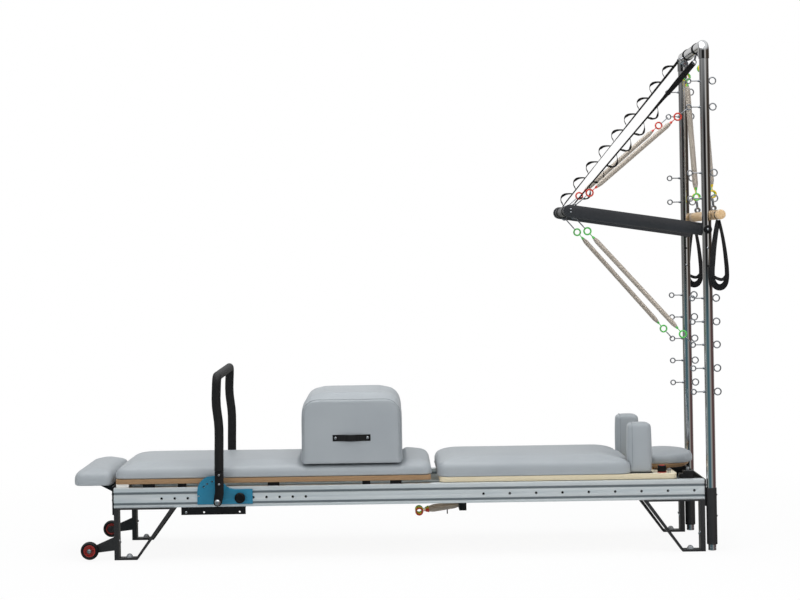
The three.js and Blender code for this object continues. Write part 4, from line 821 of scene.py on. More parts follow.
upholstered("sitting_box", "sitting_box_cover", cap=0.003, voxel=FLAT_VOXEL, within=BOX_HALF_WIDTH, relax=1,
            drawn=wrapped)
# Painted shade: the box panels' welts use the darker seam vinyl.
panel_seams = bmesh.new()
x0, x1 = box_low.x + PANEL_TUCK / 2 + WELT_RADIUS, box_high.x - PANEL_TUCK / 2 - WELT_RADIUS
foot, top = box_low.z + 0.003, box_high.z - PANEL_DROP - WELT_RADIUS
for side, label in SIDES:
    y = side * (BOX_HALF_WIDTH - 0.0005)
    outline = rounded([(x0, y, foot), (x0, y, top), (x1, y, top), (x1, y, foot)], BOX_CORNER, 10)
    piped(panel_seams, outline, WELT_RADIUS, 8)
shown("box_panel_seams", panel_seams, SEAM_SHADE_VINYL, "sitting_box")


# ---- Boards ----------------------------------------------------------------------------------
# Plywood with its layered edge showing: brown under the mat and the headrest, pale birch for
# the carriage. The mat's board has small feet and pads, and the carriage's deck has its bumpers
# with red rings, its bright pins and the shoulder rests' base plates.


def ply(name, pale, deep, faces, layer=0.0016):
    """Plywood: thin layers across its thickness, their grain running turn about."""
    made, tree, shader, place = surface(name, 0.5)
    parts = put(tree, "SeparateXYZ", {0: place}).outputs
    wander = put(tree, "TexNoise", {"Vector": place, "Scale": 14.0, "Detail": 3.0})
    height = sums(tree, "MULTIPLY_ADD", wander.outputs[0], 0.0012, parts["Z"])
    layers = sums(tree, "SINE", sums(tree, "MULTIPLY", height, math.pi / layer))
    bright = ranged(tree, layers, -0.35, 0.35)
    fibres = grouped(tree, GRAIN, {"Vector": place, "Stretch": (12, 420, 700), "Depth": 0.00015})
    streak = ranged(tree, fibres["Value"], 0.3, 0.7)
    wood = mixed(tree, bright, rgb(pale), rgb(deep))
    wood = mixed(tree, sums(tree, "MULTIPLY", streak, 0.45), wood, rgb(deep))
    normal = put(tree, "NewGeometry").outputs["Normal"]
    upward = put(tree, "SeparateXYZ", {0: normal}).outputs["Z"]
    flat = ranged(tree, sums(tree, "ABSOLUTE", upward), 0.8, 0.95)
    top = mixed(tree, streak, rgb(faces), rgb(pale))
    rough = ranged(tree, fibres["Value"], 0.3, 0.7, 0.42, 0.6)
    fed(tree, shader, {"Base Color": mixed(tree, flat, wood, top), "Roughness": rough, "Normal": fibres["Normal"]})
    return made


def blackened(board, covered):
    """Blacks the faces of a board that a test picks out."""
    board.data.materials.append(KNOB_PLASTIC)
    for face in board.data.polygons:
        face.material_index = 1 if covered(face.center) else 0


BROWN_PLY = ply("Brown plywood", "c2a27c", "7e5a3a", "b3926a")
BIRCH_PLY = ply("Birch plywood", "f1e8d2", "d8c7a2", "eadfc4", 0.0021)
MAT_BOARD_UNDER = 0.3018
MAT_FOOT_LOW, MAT_FOOT_HIGH = rail_low.z + 0.0803, rail_low.z + 0.0952
board = edged("mat_board", "mat_board_ply", BROWN_PLY, 0.001)
blackened(board, lambda at: at.z < MAT_BOARD_UNDER)
mat_feet, mat_pads = bmesh.new(), bmesh.new()
for side, label in SIDES:
    for x in (rail_low.x + 0.273, rail_low.x + 1.012):
        brick(mat_feet, (x - 0.016, side * 0.269 - 0.014, MAT_FOOT_LOW),
              (x + 0.016, side * 0.269 + 0.014, MAT_FOOT_HIGH), 0.001)
    brick(mat_pads, (rail_low.x + 0.010, side * 0.272 - 0.011, MAT_FOOT_LOW),
          (rail_low.x + 0.060, side * 0.272 + 0.011, MAT_FOOT_HIGH), 0.001)
shown("mat_rubber_feet", mat_feet, KNOB_PLASTIC, "mat")
WHITE_NYLON = finish("White nylon pad", "eceae6", "e2e0db", 0.45, stretch=500, depth=0.00004)
shown("mat_end_pads", mat_pads, WHITE_NYLON, "mat")
edged("headrest_board", "headrest_board_ply", BROWN_PLY, 0.001)
board = edged("carriage_board", "carriage_board_ply", BIRCH_PLY, 0.0012)
DECK_TOP = box_low.z - 0.0613
DECK_THICKNESS = 0.0205
blackened(board, lambda at: at.z > DECK_TOP + 0.0004 or at.z < DECK_TOP - DECK_THICKNESS)
BUMPER_X, BUMPER_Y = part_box("carriage_board")[1].x - 0.055, 0.222
BUMPER_BODY = [(0, 0.0033), (0.0172, 0.0033), (0.0176, 0.0045), (0.0172, 0.0262), (0.0155, 0.0279), (0, 0.0279)]
LOWER_RING = [(0.0152, 0.0003), (0.0182, 0.0003), (0.0185, 0.0015), (0.0180, 0.0030), (0.0152, 0.0032),
              (0.0152, 0.0003)]
UPPER_RING = [(0, 0.0281), (0.0105, 0.0281), (0.0118, 0.0288), (0.0112, 0.0298), (0.009, 0.0302), (0, 0.0302)]
PIN_HEAD = [(0, 0.0165), (0.0022, 0.0165), (0.0036, 0.0152), (0.0036, 0.0128), (0, 0.0128)]
DECK_PINS = ((0.0225, 0.016), (0.031, 0.010))
RED_RUBBER = finish("Red rubber ring", "c22f22", "ad281d", 0.5, stretch=500)
bumper_rings, bumper_bodies, deck_pins, rest_bases = bmesh.new(), bmesh.new(), bmesh.new(), bmesh.new()
for side, label in SIDES:
    for bm, profile in ((bumper_rings, LOWER_RING), (bumper_bodies, BUMPER_BODY), (bumper_rings, UPPER_RING)):
        turned(bm, profile, (BUMPER_X, side * BUMPER_Y, DECK_TOP), (0, 0, 1), 32)
    for reach, out in DECK_PINS:
        x, y = BUMPER_X + reach, side * (BUMPER_Y + out)
        barrel(deck_pins, (x, y, DECK_TOP + 0.0002), (x, y, DECK_TOP + 0.013), 0.0024, steps=16, soft=0.0006)
        turned(deck_pins, PIN_HEAD, (x, y, DECK_TOP), (0, 0, 1), 20)
    low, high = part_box(f"{label}_shoulder_rest")
    y = (low.y + high.y) / 2
    brick(rest_bases, (low.x + 0.004, y - 0.044, DECK_TOP + 0.0001), (high.x + 0.004, y + 0.044, DECK_TOP + 0.0003))
shown("bumper_rings", bumper_rings, RED_RUBBER, "carriage")
shown("bumper_bodies", bumper_bodies, KNOB_PLASTIC, "carriage")
shown("deck_pins", deck_pins, SCREW_STEEL, "carriage")
shown("rest_base_plates", rest_bases, BLACK_STEEL, "carriage")


# ---- Track wheels ----------------------------------------------------------------------------
# Four small rubber-tyred wheels on which the carriage runs inside the rails, each on an axle
# of the carriage's board.
for side, label in SIDES:
    for end in ("foot", "head"):
        name = f"{label}_{end}_track_wheel"
        low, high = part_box(name)
        half = (high.y - low.y) / 2
        radius = (high.z - low.z) / 2
        tread = both_ways([(0.0055, -half), (0.013, -half), (0.0135, -half + 0.0015),
                           (radius - 0.003, -half + 0.0015), (radius, -half + 0.003)])
        wheel = bmesh.new()
        turned(wheel, [*tread, tread[0]], (low + high) / 2, ACROSS, 40)
        shown(f"{name}_tyre", wheel, TYRE, name, [name])


# ---- Footbar slide plates and plungers ---------------------------------------------------------
# Blue powder-coated steel plates that slide along the rails, with notches for the footbar's
# tilt and a round black plunger knob that locks each to an index hole.
BLUE_STEEL = finish("Blue powder coat", "267e9f", "217392", 0.4, stretch=1100, depth=0.00008,
                    worn="5b9db3", coat=0.15, gloss=0.35)
for side, label in SIDES:
    edged(f"{label}_slide_plate", f"{label}_slide_plate_coated", BLUE_STEEL, 0.0008)
    name = f"{label}_plunger"
    low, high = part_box(name)
    inner, outer = sorted((abs(low.y), abs(high.y)))
    reach = inner - 0.0001
    depth = outer - reach
    profile = [(0, 0), (0.0037, 0), (0.0037, 0.006), (0.009, 0.006), (0.009, depth - 0.0158),
               (0.0165, depth - 0.0155), (0.0198, depth - 0.0138), (0.0212, depth - 0.0105),
               (0.0214, depth - 0.006), (0.0205, depth - 0.003), (0.0182, depth - 0.0008),
               (0.015, depth - 0.0002), (0.0135, depth - 0.0012), (0.006, depth - 0.0016), (0, depth - 0.0016)]
    knob = bmesh.new()
    turned(knob, profile, ((low.x + high.x) / 2, side * reach, (low.z + high.z) / 2), (0, side, 0), 36)
    shown(f"{label}_plunger_knob", knob, KNOB_PLASTIC, name, [name])


# ---- Footbar ---------------------------------------------------------------------------------
# A steel tube bent over the bed and covered in black foam grip, bolted between two flat black
# arms that pivot on the slide plates.
GRIP = finish("Black foam grip", "191919", "202021", 0.6, stretch=420, depth=0.0004, gloss=0.3)
FOOTBAR_RADIUS = 0.0182
FOOTBAR_BEND = 0.055
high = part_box("footbar")[1]
arm_low, arm_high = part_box("near_footbar_arm")
footbar_x, footbar_y, footbar_top = arm_high.x - 0.017, high.y - 0.0175, high.z - FOOTBAR_RADIUS
SHANK_BOW = ((0.3543, 0.0), (0.42, 0.0008), (0.48, 0.0022), (0.52, 0.0024), (0.55, 0.0008), (0.58, -0.0028),
             (0.61, -0.0062), (0.64, -0.0072), (0.67, -0.006))
route = [(footbar_x + lean, -footbar_y, z) for z, lean in SHANK_BOW]
route += [(footbar_x - 0.003, -footbar_y, footbar_top)]
route += [(x, -y, z) for x, y, z in reversed(route)]
footbar, arm_screws = bmesh.new(), bmesh.new()
piped(footbar, rounded(route, FOOTBAR_BEND, 14), FOOTBAR_RADIUS, 40)
shown("footbar_grip", footbar, GRIP, "footbar", ["footbar"], 50)
for side, label in SIDES:
    edged(f"{label}_footbar_arm", f"{label}_footbar_arm_coated", BLACK_STEEL, 0.0012)
    for x, z, radius in ((arm_low.x + 0.017, 0.230, 0.0125), (footbar_x, 0.338, 0.005), (footbar_x, 0.301, 0.005)):
        screw(arm_screws, (x, side * 0.3352, z), (0, side, 0), radius)
shown("footbar_arm_screws", arm_screws, SCREW_STEEL, "footbar")


# ---- Push-through bar ------------------------------------------------------------------------
# Two flat steel arms, charcoal powder coated, joined at their free ends by a tube. Each arm
# turns on a pin through its post, with a black hand knob outside.
CHARCOAL = finish("Charcoal powder coat", "2d2e31", "333438", 0.45, stretch=1000, depth=0.00008,
                  worn="6b6c70", coat=0.1)
PUSH_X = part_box("near_push_arm")[0].x + 0.025
PUSH_Z = 1.367
PUSH_RADIUS = 0.020
PUSH_HALF = 0.2237
KNOB_START = 0.2995
push_screws = bmesh.new()
for side, label in SIDES:
    arm = edged(f"{label}_push_arm", f"{label}_push_arm_coated", CHARCOAL, 0.0015)
    blackened(arm, lambda at: abs(at.y) > KNOB_START)
    screw(push_screws, (POST_X, side * 0.3146, PIVOT_Z), (0, side, 0), 0.005)
    for drop in (-0.006, 0.006):
        screw(push_screws, (PUSH_X + 0.006, side * 0.2403, PUSH_Z + drop), (0, side, 0), 0.0042)
shown("push_bar_screws", push_screws, SCREW_STEEL, "push_through_bar")
push = bmesh.new()
barrel(push, (PUSH_X, -PUSH_HALF, PUSH_Z), (PUSH_X, PUSH_HALF, PUSH_Z), PUSH_RADIUS, steps=48, soft=0.001)
shown("push_bar_tube", push, CHARCOAL, "push_through_bar", ["push_bar"])


# ---- Springs ---------------------------------------------------------------------------------
# Close-wound steel extension springs that taper to coloured end caps, each with a coloured ring
# and a snap hook at both ends.
SPRING_RADIUS = 0.0086
SPRING_WIRE = 0.00155
SPRING_PITCH = 0.0031
COIL_STEPS = 12
COIL_START = 0.0395
TAPER = 0.018
RING_RADIUS, RING_WIRE = 0.0137, 0.0034
HOOK_HALF, HOOK_WIRE = 0.0062, 0.0016
SPRING_STEEL = finish("Oiled spring steel", "d4cabe", "c2b8ac", 0.42, 0.4, stretch=40, depth=0.0)
SPRING_COLOURS = (("red", "d8432f", "c63a28"), ("green", "62c95e", "52bb52"), ("yellow", "efcf1f", "e4c214"))
CAPS = {name: finish(f"{name.title()} spring cap", colour, other, 0.38, stretch=500, depth=0.00004, coat=0.2)
        for name, colour, other in SPRING_COLOURS}


def helix(start, end, radius=SPRING_RADIUS):
    """The wire of a close-wound spring, drawn in at both ends."""
    start, end = Vector(start), Vector(end)
    axis = (end - start).normalized()
    first = axis.cross(Vector((0, 1, 0)) if abs(axis.y) < 0.9 else Vector((1, 0, 0))).normalized()
    second = axis.cross(first)
    length = (end - start).length
    count = round(length / SPRING_PITCH * COIL_STEPS)
    points = []
    for i in range(count + 1):
        run = length * i / count
        near_end = min(run, length - run)
        r = radius * (0.5 + 0.5 * min(1.0, near_end / TAPER) ** 0.6)
        angle = 2 * math.pi * i / COIL_STEPS
        points.append(start + axis * run + (first * math.cos(angle) + second * math.sin(angle)) * r)
    return points


def hook(bm, eye, towards, side_way, reach):
    """A snap hook from an eye to the spring's ring: a wire loop with its gate and swivel."""
    eye, towards = Vector(eye), Vector(towards).normalized()
    side_way = (Vector(side_way) - towards * towards.dot(Vector(side_way))).normalized()
    start, end = 0.003, reach - 0.0105
    outline = [(start, 0.0), (start + 0.004, HOOK_HALF), (end - 0.012, HOOK_HALF * 1.05), (end, 0.0),
               (end - 0.012, -HOOK_HALF * 1.05), (start + 0.004, -HOOK_HALF)]
    points = [eye + towards * run + side_way * out for run, out in outline]
    piped(bm, rounded([*points, *points[:2]], 0.006, 5)[1:-1], HOOK_WIRE, 8, closed=True)
    gate = eye - side_way * HOOK_HALF
    barrel(bm, gate + towards * (end - 0.014), gate + towards * (start + 0.01), 0.0023, steps=10, soft=0.0004)


def spring(name, colour, start, end, start_reach, end_reach, nodes):
    """One spring between two eyes, with its rings and hooks."""
    start, end = Vector(start), Vector(end)
    axis = (end - start).normalized()
    wire, metal, tint = bmesh.new(), bmesh.new(), bmesh.new()
    for eye, way, reach in ((start, axis, start_reach), (end, -axis, end_reach)):
        width = (Vector(ACROSS) - way * way.dot(Vector(ACROSS))).normalized()
        middle = eye + way * reach
        hook(metal, eye, way, width, reach)
        ring(tint, middle, width, RING_RADIUS, RING_WIRE, 32, 10)
        barrel(tint, middle + way * 0.0125, middle + way * 0.031, 0.0018, steps=10)
        barrel(tint, middle + way * 0.029, middle + way * 0.040, 0.0035, 0.0062, steps=20, soft=0.0008)
    coil = helix(start + axis * (start_reach + COIL_START), end - axis * (end_reach + COIL_START))
    piped(wire, coil, SPRING_WIRE, 8)
    for part, bm, material, stands in (("coil", wire, SPRING_STEEL, nodes), ("hooks", metal, EYE_STEEL, ()),
                                       ("caps", tint, CAPS[colour], ())):
        piece = shown(f"{name}_{part}", bm, material, None, stands, 60)
        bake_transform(piece)


BAR_REACH = 0.082
POST_REACH = 0.058
PUSH_SPRINGS = (("upper", EYE_HEIGHTS[7], "red"), ("lower", EYE_HEIGHTS[2], "green"))
push_eyes = bmesh.new()
for side, label in SIDES:
    for level, z, colour in PUSH_SPRINGS:
        target = Vector((POST_X - FRONT_EYE[0], 0, z))
        centre = Vector((PUSH_X, 0, PUSH_Z))
        way = (target - centre).normalized()
        eye = centre + way * (PUSH_RADIUS + EYE_RADIUS)
        eye.y = side * 0.205
        ring(push_eyes, eye, ACROSS, EYE_RADIUS, EYE_WIRE)
        barrel(push_eyes, eye - way * EYE_RADIUS, eye - way * (EYE_RADIUS + 0.003), 0.0045, steps=12)
        name = f"{label}_{level}_spring"
        spring(name, colour, (target.x, side * POST_SPAN, z), eye, POST_REACH, BAR_REACH, [name])
shown("push_bar_eyes", push_eyes, EYE_STEEL, "push_through_bar")


# ---- Roll-down bar ---------------------------------------------------------------------------
# A turned maple dowel with a groove near each end for the leg loops, hung behind the posts on
# two pairs of springs.
DOWEL_RADIUS = 0.0195
DOWEL_Z = 1.340
low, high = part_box("roll_down_bar")
DOWEL_X = (low.x + high.x) / 2
HANGING_REACH = 0.056


def maple():
    """Turned and lacquered maple with its growth rings."""
    made, tree, shader, place = surface("Turned maple", 0.42, coat=0.25)
    fibres = grouped(tree, GRAIN, {"Vector": place, "Stretch": (260, 9, 260), "Depth": 0.0001})
    figure = put(tree, "TexWave", {"Vector": place, "Scale": 40.0, "Distortion": 6.0, "Detail": 3.0},
                 wave_type="RINGS", rings_direction="Y")
    base = mixed(tree, ranged(tree, fibres["Value"], 0.3, 0.7), rgb("ebcfa6"), rgb("d3ad7c"))
    wood = mixed(tree, sums(tree, "MULTIPLY", figure.outputs["Fac"], 0.25), base, rgb("c79d6b"))
    rough = ranged(tree, fibres["Value"], 0.3, 0.7, 0.36, 0.5)
    fed(tree, shader, {"Base Color": wood, "Roughness": rough, "Normal": fibres["Normal"]})
    return made


MAPLE = maple()
HALF_DOWEL = [(0, 0.385), (0.0105, 0.385), (0.0155, 0.3835), (0.0185, 0.3795), (0.0195, 0.3745), (0.0195, 0.3435),
              (0.0182, 0.3415), (0.0175, 0.337), (0.0175, 0.323), (0.0182, 0.3185), (0.0195, 0.3165),
              (0.0195, 0.2345), (0.0187, 0.2335), (0.0187, 0.2325), (0.0195, 0.2315)]
dowel, dowel_eyes = bmesh.new(), bmesh.new()
turned(dowel, both_ways(HALF_DOWEL), (DOWEL_X, 0, DOWEL_Z), ACROSS, 48)
shown("roll_down_dowel", dowel, MAPLE, "roll_down_bar", ["roll_down_bar"])
EYE_Z = DOWEL_Z + DOWEL_RADIUS + EYE_RADIUS
for side, label in SIDES:
    for half_span, colour in HANGERS:
        y = side * half_span
        ring(dowel_eyes, (DOWEL_X, y, EYE_Z), ACROSS, EYE_RADIUS, EYE_WIRE)
        barrel(dowel_eyes, (DOWEL_X, y, EYE_Z - EYE_RADIUS), (DOWEL_X, y, EYE_Z - EYE_RADIUS - 0.003), 0.0045,
               steps=12)
        name = f"{label}_{colour}_spring"
        spring(name, colour, (POST_X, y, HANGER_Z), (DOWEL_X, y, EYE_Z), HANGING_REACH, HANGING_REACH,
               [name])
shown("dowel_eyes", dowel_eyes, EYE_STEEL, "roll_down_bar")


# ---- Webbing ---------------------------------------------------------------------------------
# Black nylon webbing: the sitting box's two handles, the two leg loops on the roll-down bar and
# the two safety straps between the crossbar and the push-through bar, each with a row of sewn
# hand loops.


def webbing(name, colour, other):
    """Woven nylon: two crossed waves of thread."""
    made, tree, shader, place = surface(name, 0.8)
    weave = put(tree, "TexWave", {"Vector": place, "Scale": 330.0, "Distortion": 0.3}, bands_direction="Y")
    cross = put(tree, "TexWave", {"Vector": place, "Scale": 240.0, "Distortion": 0.3}, bands_direction="Z")
    threads = sums(tree, "MULTIPLY", weave.outputs["Fac"], cross.outputs["Fac"])
    relief = put(tree, "Bump", {"Strength": 0.6, "Distance": 0.0003, "Height": threads})
    fed(tree, shader, {"Base Color": mixed(tree, threads, rgb(colour), rgb(other)), "Normal": relief.outputs[0],
                       "Roughness": sums(tree, "MULTIPLY_ADD", threads, -0.15, 0.85)})
    return made


def eased(points, steps=4):
    """A smooth line through a few points."""
    points = [Vector(p) for p in points]
    points = [points[0] * 2 - points[1], *points, points[-1] * 2 - points[-2]]
    line = []
    for a, b, c, d in zip(points, points[1:], points[2:], points[3:]):
        pull, bend, twist = c - a, a * 2 - b * 5 + c * 4 - d, b * 3 - a - c * 3 + d
        for i in range(steps):
            t = i / steps
            line.append((b * 2 + pull * t + bend * t ** 2 + twist * t ** 3) / 2)
    return [*line, points[-2]]


def strap(bm, points, width, thick, turns):
    """A flat strap along a line: one short edge carried from point to point, then given its thickness.
    The turns, in degrees, say how far its width is turned from across the bed towards the line's plane."""
    points = [Vector(p) for p in points]
    across = Vector(ACROSS)
    flats = []
    for i in range(len(points)):
        run = (points[min(i + 1, len(points) - 1)] - points[max(i - 1, 0)]).normalized()
        share = i / (len(points) - 1) * (len(turns) - 1)
        lower = min(int(share), len(turns) - 2)
        angle = math.radians(turns[lower] + (turns[lower + 1] - turns[lower]) * (share - lower))
        flats.append(across * math.cos(angle) + run.cross(across) * math.sin(angle))
    pair = [bm.verts.new(points[0] + flats[0] * (way * width / 2)) for way in (-1, 1)]
    edge = bm.edges.new(pair)
    sheet = []
    for i in range(1, len(points)):
        carried = bmesh.ops.extrude_edge_only(bm, edges=[edge])["geom"]
        fresh = [v for v in carried if isinstance(v, bmesh.types.BMVert)]
        edge = next(e for e in carried if isinstance(e, bmesh.types.BMEdge) and all(v in fresh for v in e.verts))
        sheet += [f for f in carried if isinstance(f, bmesh.types.BMFace)]
        for v in fresh:
            way = 1 if (v.co - points[i - 1]).dot(flats[i - 1]) > 0 else -1
            v.co = points[i] + flats[i] * (way * width / 2)
    bmesh.ops.solidify(bm, geom=sheet, thickness=thick)


WEBBING = webbing("Black webbing", "0e0e0f", "1c1c1e")
HANDLE_HALF, HANDLE_WIDTH, HANDLE_THICK = 0.076, 0.026, 0.0016
HANDLE_X, HANDLE_Z = (box_low.x + box_high.x) / 2, 0.4735
HANDLE_BOW = ((-HANDLE_HALF, 0), (-HANDLE_HALF + 0.022, 0.0012), (-0.030, 0.0062), (0, 0.0072), (0.030, 0.0062),
              (HANDLE_HALF - 0.022, 0.0012), (HANDLE_HALF, 0))
handles, handle_screws = bmesh.new(), bmesh.new()
for side, label in SIDES:
    face = side * (BOX_HALF_WIDTH + 0.0004)
    route = [(HANDLE_X + x, face + side * out, HANDLE_Z if x else HANDLE_Z - 0.001) for x, out in HANDLE_BOW]
    strap(handles, eased(route), HANDLE_WIDTH, HANDLE_THICK, (90, 90))
    for way in (-1, 1):
        at = (HANDLE_X + way * (HANDLE_HALF - 0.012), face + side * 0.0024, HANDLE_Z)
        screw(handle_screws, at, (0, side, 0), 0.0058)
shown("box_handles", handles, WEBBING, "sitting_box")
shown("box_handle_screws", handle_screws, SCREW_STEEL, "sitting_box")

LOOP_SPAN = 0.320
LOOP_WIDTH, LOOP_THICK = 0.026, 0.002
LOOP_RISE = [(0.0015, 1.3185), (0.006, 1.300), (0.013, 1.268), (0.0215, 1.215), (0.0275, 1.160), (0.0305, 1.115),
             (0.0285, 1.080), (0.017, 1.058), (0.0, 1.051), (-0.017, 1.058), (-0.0285, 1.080), (-0.0305, 1.115),
             (-0.0265, 1.160), (-0.0205, 1.215), (-0.0125, 1.268), (-0.006, 1.300), (-0.0015, 1.3185)]
LOOP_TURNS = (35, 35, 45, 50, 90, 50, 45, 35, 35)
PALM_BAND = ((-0.028, 0, 1.098), (-0.008, 0.006, 1.086), (0.012, 0.004, 1.083), (0.028, 0, 1.098))
PALM_WIDTH, PALM_THICK = 0.014, 0.0018
GROOVE_SPAN, GROOVE_HALF = 0.330, 0.012
GROOVE_WRAP = band(DOWEL_RADIUS - 0.0017, DOWEL_RADIUS, -GROOVE_HALF, GROOVE_HALF)
for side, label in SIDES:
    loops = bmesh.new()
    hanging = [(DOWEL_X + x, side * LOOP_SPAN, z) for x, z in LOOP_RISE]
    strap(loops, eased(hanging), LOOP_WIDTH, LOOP_THICK, LOOP_TURNS)
    palm = [(DOWEL_X + x, side * (LOOP_SPAN + out), z) for x, out, z in PALM_BAND]
    strap(loops, eased(palm), PALM_WIDTH, PALM_THICK, (60, 60))
    turned(loops, GROOVE_WRAP, (DOWEL_X, side * GROOVE_SPAN, DOWEL_Z), ACROSS, 40)
    shown(f"{label}_leg_loop_webbing", loops, WEBBING, "roll_down_bar", [f"{label}_leg_loop"])

STRAP_SPAN, STRAP_WIDTH, STRAP_THICK, WAVE_THICK = 0.120, 0.024, 0.0022, 0.0018
WAVE_PITCH = 0.0855
WAVE = [(0.0, 0.0), (0.010, 0.013), (0.023, 0.024), (0.039, 0.0285), (0.052, 0.021), (0.058, 0.009), (0.064, 0.0)]
WAVE_TURNS = (4, 10, 24, 8, 14, 4)
STRAPS = (
    (-1, "near", Vector((POST_X - 0.0135, 0, 1.964)), Vector((PUSH_X + 0.020, 0, PUSH_Z + 0.017)), 1, 0.30, 6,
     (72, 72, 30, 15, 14, 14, 13, 12, 12)),
    (1, "far", Vector((POST_X - 0.0385, 0, 1.996)), Vector((PUSH_X + 0.004, 0, PUSH_Z + 0.023)), -1, 0.04, 9,
     (26, 20, 16, 12, 5, 4, 10, 12)),
)
for side, label, upper, lower, droop, first_share, count, turns in STRAPS:
    y = Vector((0, side * STRAP_SPAN, 0))
    run = (lower - upper).normalized()
    out = run.cross(Vector(ACROSS)) * droop
    length = (lower - upper).length
    bands, buckles = bmesh.new(), bmesh.new()
    line = [upper + y, *[upper.lerp(lower, share) + y for share in (0.25, 0.5, 0.75)], lower + y]
    strap(bands, eased(line, 6), STRAP_WIDTH, STRAP_THICK, turns)
    for i in range(count):
        at = length * first_share + i * WAVE_PITCH
        wave = [upper + y + run * (at + along) + out * high for along, high in WAVE]
        strap(bands, eased(wave), STRAP_WIDTH, WAVE_THICK, WAVE_TURNS)
    top_centre = Vector((POST_X, side * STRAP_SPAN, TOWER_TOP - CROSSBAR_RADIUS))
    bar_centre = Vector((PUSH_X, side * STRAP_SPAN, PUSH_Z))
    for centre, radius in ((top_centre, CROSSBAR_RADIUS + 0.0003), (bar_centre, PUSH_RADIUS + 0.0003)):
        turned(bands, band(radius, radius + 0.002, -STRAP_WIDTH / 2, STRAP_WIDTH / 2), centre, ACROSS, 40)
    way = (upper + y - top_centre).normalized()
    barrel(buckles, top_centre + way * (CROSSBAR_RADIUS + 0.001), upper + y - way * 0.008, 0.0048, 0.004, 12, 0.001)
    ring(buckles, upper + y - way * 0.002, ACROSS, 0.0085, 0.0022)
    piece = shown(f"{label}_safety_strap_webbing", bands, WEBBING, None, [f"{label}_safety_strap"])
    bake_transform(piece)
    shown(f"{label}_strap_buckle", buckles, EYE_STEEL, "frame")


# ---- Carriage spring rack ----------------------------------------------------------------------
# A black steel bracket under the carriage's foot end with a bent wire, where the unhooked
# carriage springs are parked.
PARKED_FOOT_Z, PARKED_RING_Z = 0.166, 0.142
PARKED_RADIUS = 0.0092
edged("spring_rack", "spring_rack_coated", BLACK_STEEL)
for colour in ("red", "yellow", "green"):
    node = f"parked_{colour}_spring"
    low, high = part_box(node)
    y = (low.y + high.y) / 2
    begin = Vector((high.x, y, PARKED_FOOT_Z))
    middle = Vector((low.x + 0.017, y, PARKED_RING_Z))
    way = (begin - middle).normalized()
    wire, tint = bmesh.new(), bmesh.new()
    ring(tint, middle, ACROSS, 0.0135, 0.0033, 32, 10)
    barrel(tint, middle + way * 0.014, middle + way * 0.030, 0.0019, steps=10)
    barrel(tint, middle + way * 0.026, middle + way * 0.041, 0.0045, 0.0095, steps=24, soft=0.001)
    piped(wire, helix(middle + way * 0.0415, begin - way * 0.002, PARKED_RADIUS), SPRING_WIRE, 6)
    shown(f"parked_{colour}_coil", wire, SPRING_STEEL, "carriage", [node], 60)
    shown(f"parked_{colour}_caps", tint, CAPS[colour], "carriage")


# ---- Camera, light and floor -------------------------------------------------------------------
# A long lens from the near side, soft light from above and a white floor. Polished metal sees
# dark screens and white windows round the room, and of the lamps only the one overhead.
YAW, PITCH, ROLL = -0.0123, 0.0024, -0.0172
CAMERA_AT = (-0.03425, -8.071, 1.218)
LENS, SHIFT_X, SHIFT_Y = 87.64, 0.0449, -0.0666
forward = Vector((math.sin(YAW) * math.cos(PITCH), math.cos(YAW) * math.cos(PITCH), math.sin(PITCH)))
level = Vector((math.cos(YAW), -math.sin(YAW), 0))
above = level.cross(forward)
right = math.cos(ROLL) * level + math.sin(ROLL) * above
upward = -math.sin(ROLL) * level + math.cos(ROLL) * above
camera_data = bpy.data.cameras.new("camera")
camera_data.sensor_width = 36
camera_data.lens = LENS
camera_data.shift_x = SHIFT_X
camera_data.shift_y = SHIFT_Y
camera = bpy.data.objects.new("camera", camera_data)
scene.collection.objects.link(camera)
camera.matrix_world = Matrix.Translation(CAMERA_AT) @ Matrix((right, upward, -forward)).transposed().to_4x4()
scene.camera = camera
scene.view_settings.view_transform = "Standard"

FLOOR_HALF = 60
CONTACT_RADIUS, CLEAR_RADIUS = 1.2, 3.2
floor_mesh = bpy.data.meshes.new("floor")
sheet = bmesh.new()
bmesh.ops.create_grid(sheet, x_segments=1, y_segments=1, size=FLOOR_HALF)
sheet.to_mesh(floor_mesh)
sheet.free()
floor = bpy.data.objects.new("floor", floor_mesh)
scene.collection.objects.link(floor)
floor.location.z = -0.0002
floor_look, tree, shader, place = surface("White floor", 0.9)
fed(tree, shader, {"Base Color": (0.93, 0.93, 0.93, 1), "Specular IOR Level": 0.1})
away = put(tree, "VectorMath", {0: place}, operation="LENGTH").outputs["Value"]
seen_by = put(tree, "LightPath").outputs
faded = ranged(tree, away, CONTACT_RADIUS, CLEAR_RADIUS, 0.92, 1.0)
blank = sums(tree, "MULTIPLY", faded, seen_by["Is Camera Ray"])
glow = put(tree, "Emission", {"Color": (1, 1, 1, 1), "Strength": 1.0})
join = put(tree, "MixShader", {0: blank, 1: shader.outputs[0], 2: glow.outputs[0]})
unseen = put(tree, "BsdfTransparent").outputs[0]
clear = put(tree, "MixShader", {0: seen_by["Is Glossy Ray"], 1: join.outputs[0], 2: unseen})
fed(tree, tree.nodes["Material Output"], {"Surface": clear.outputs[0]})
floor_mesh.materials.append(floor_look)

world = bpy.data.worlds.new("studio")
world.use_nodes = True
scene.world = world
tree = world.node_tree
background = fed(tree, tree.nodes["Background"], {"Color": (0.95, 0.975, 1.0, 1), "Strength": 0.42})
white = put(tree, "Background", {"Color": (1, 1, 1, 1), "Strength": 1.0})
direction = put(tree, "SeparateXYZ", {0: put(tree, "TexCoord").outputs["Generated"]}).outputs
compass = sums(tree, "ARCTAN2", direction["X"], sums(tree, "MULTIPLY", direction["Y"], -1.0))
around = ranged(tree, compass, -math.pi, math.pi)


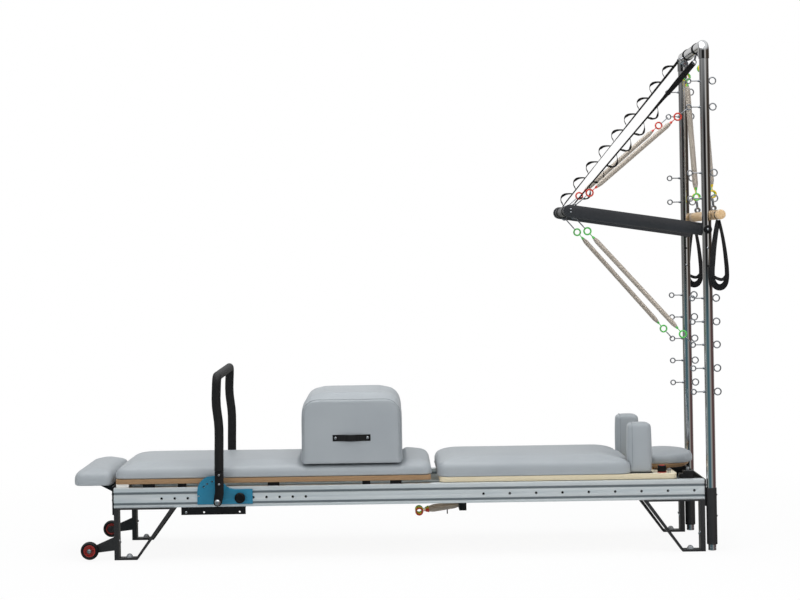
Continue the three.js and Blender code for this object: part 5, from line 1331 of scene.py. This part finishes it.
def studio_walls(stops):
    """What polished metal sees round the room: dark screens and white windows, by compass angle."""
    ramp = put(tree, "ValToRGB", {0: around})
    ramp.color_ramp.elements.remove(ramp.color_ramp.elements[-1])
    ramp.color_ramp.elements[0].position = 0.0
    ramp.color_ramp.elements[0].color = rgb(stops[0][1])
    for degrees, tone in stops[1:]:
        ramp.color_ramp.elements.new((degrees + 180) / 360).color = rgb(tone)
    return ramp.outputs[0]


HIGH_WALLS = ((-180, "dcdcdc"), (-150, "c0c0c0"), (-112, "585856"), (-85, "888888"), (-55, "707070"),
              (-40, "1c1c1c"), (-8, "1c1c1c"), (4, "707070"), (16, "d0cecb"), (28, "d0cecb"), (40, "686058"),
              (60, "403830"), (95, "403830"), (125, "6c6460"), (155, "b0b0b0"))
LOW_WALLS = ((-180, "a0a09c"), (-110, "707068"), (-80, "98a09c"), (-50, "507078"), (-14, "486c78"), (6, "98a4a8"),
             (28, "a8a098"), (50, "604848"), (95, "604848"), (140, "a0a09c"))
CEILING = (0.9, 0.92, 0.93, 1)
sunk = ranged(tree, direction["Z"], 0.02, -0.075)
walls = mixed(tree, sunk, studio_walls(HIGH_WALLS), studio_walls(LOW_WALLS))
overhead = ranged(tree, direction["Z"], 0.25, 0.6)
studio = put(tree, "Background", {"Color": mixed(tree, overhead, walls, CEILING), "Strength": 1.0})
seen_by = put(tree, "LightPath").outputs
mirrored = put(tree, "MixShader", {0: seen_by["Is Glossy Ray"], 1: background.outputs[0], 2: studio.outputs[0]})
choice = put(tree, "MixShader", {0: seen_by["Is Camera Ray"], 1: mirrored.outputs[0], 2: white.outputs[0]})
fed(tree, tree.nodes["World Output"], {"Surface": choice.outputs[0]})


def softbox(name, at, aim, size, power, mirrored=True):
    """An area light turned to a point, which polished metal may see or not."""
    data = bpy.data.lights.new(name, "AREA")
    data.shape = "RECTANGLE"
    data.size, data.size_y = size
    data.energy = power
    made = bpy.data.objects.new(name, data)
    scene.collection.objects.link(made)
    made.location = at
    made.rotation_euler = (Vector(aim) - Vector(at)).to_track_quat("-Z", "Y").to_euler()
    made.visible_glossy = mirrored


softbox("overhead", (-0.3, -0.2, 3.9), (0, 0, 0.3), (4.2, 3.0), 99)
softbox("front", (-3.4, -4.6, 2.6), (0, 0, 0.8), (2.0, 2.6), 52, False)
softbox("side", (3.6, -3.0, 2.4), (0.6, 0, 1.0), (1.4, 2.6), 42, False)
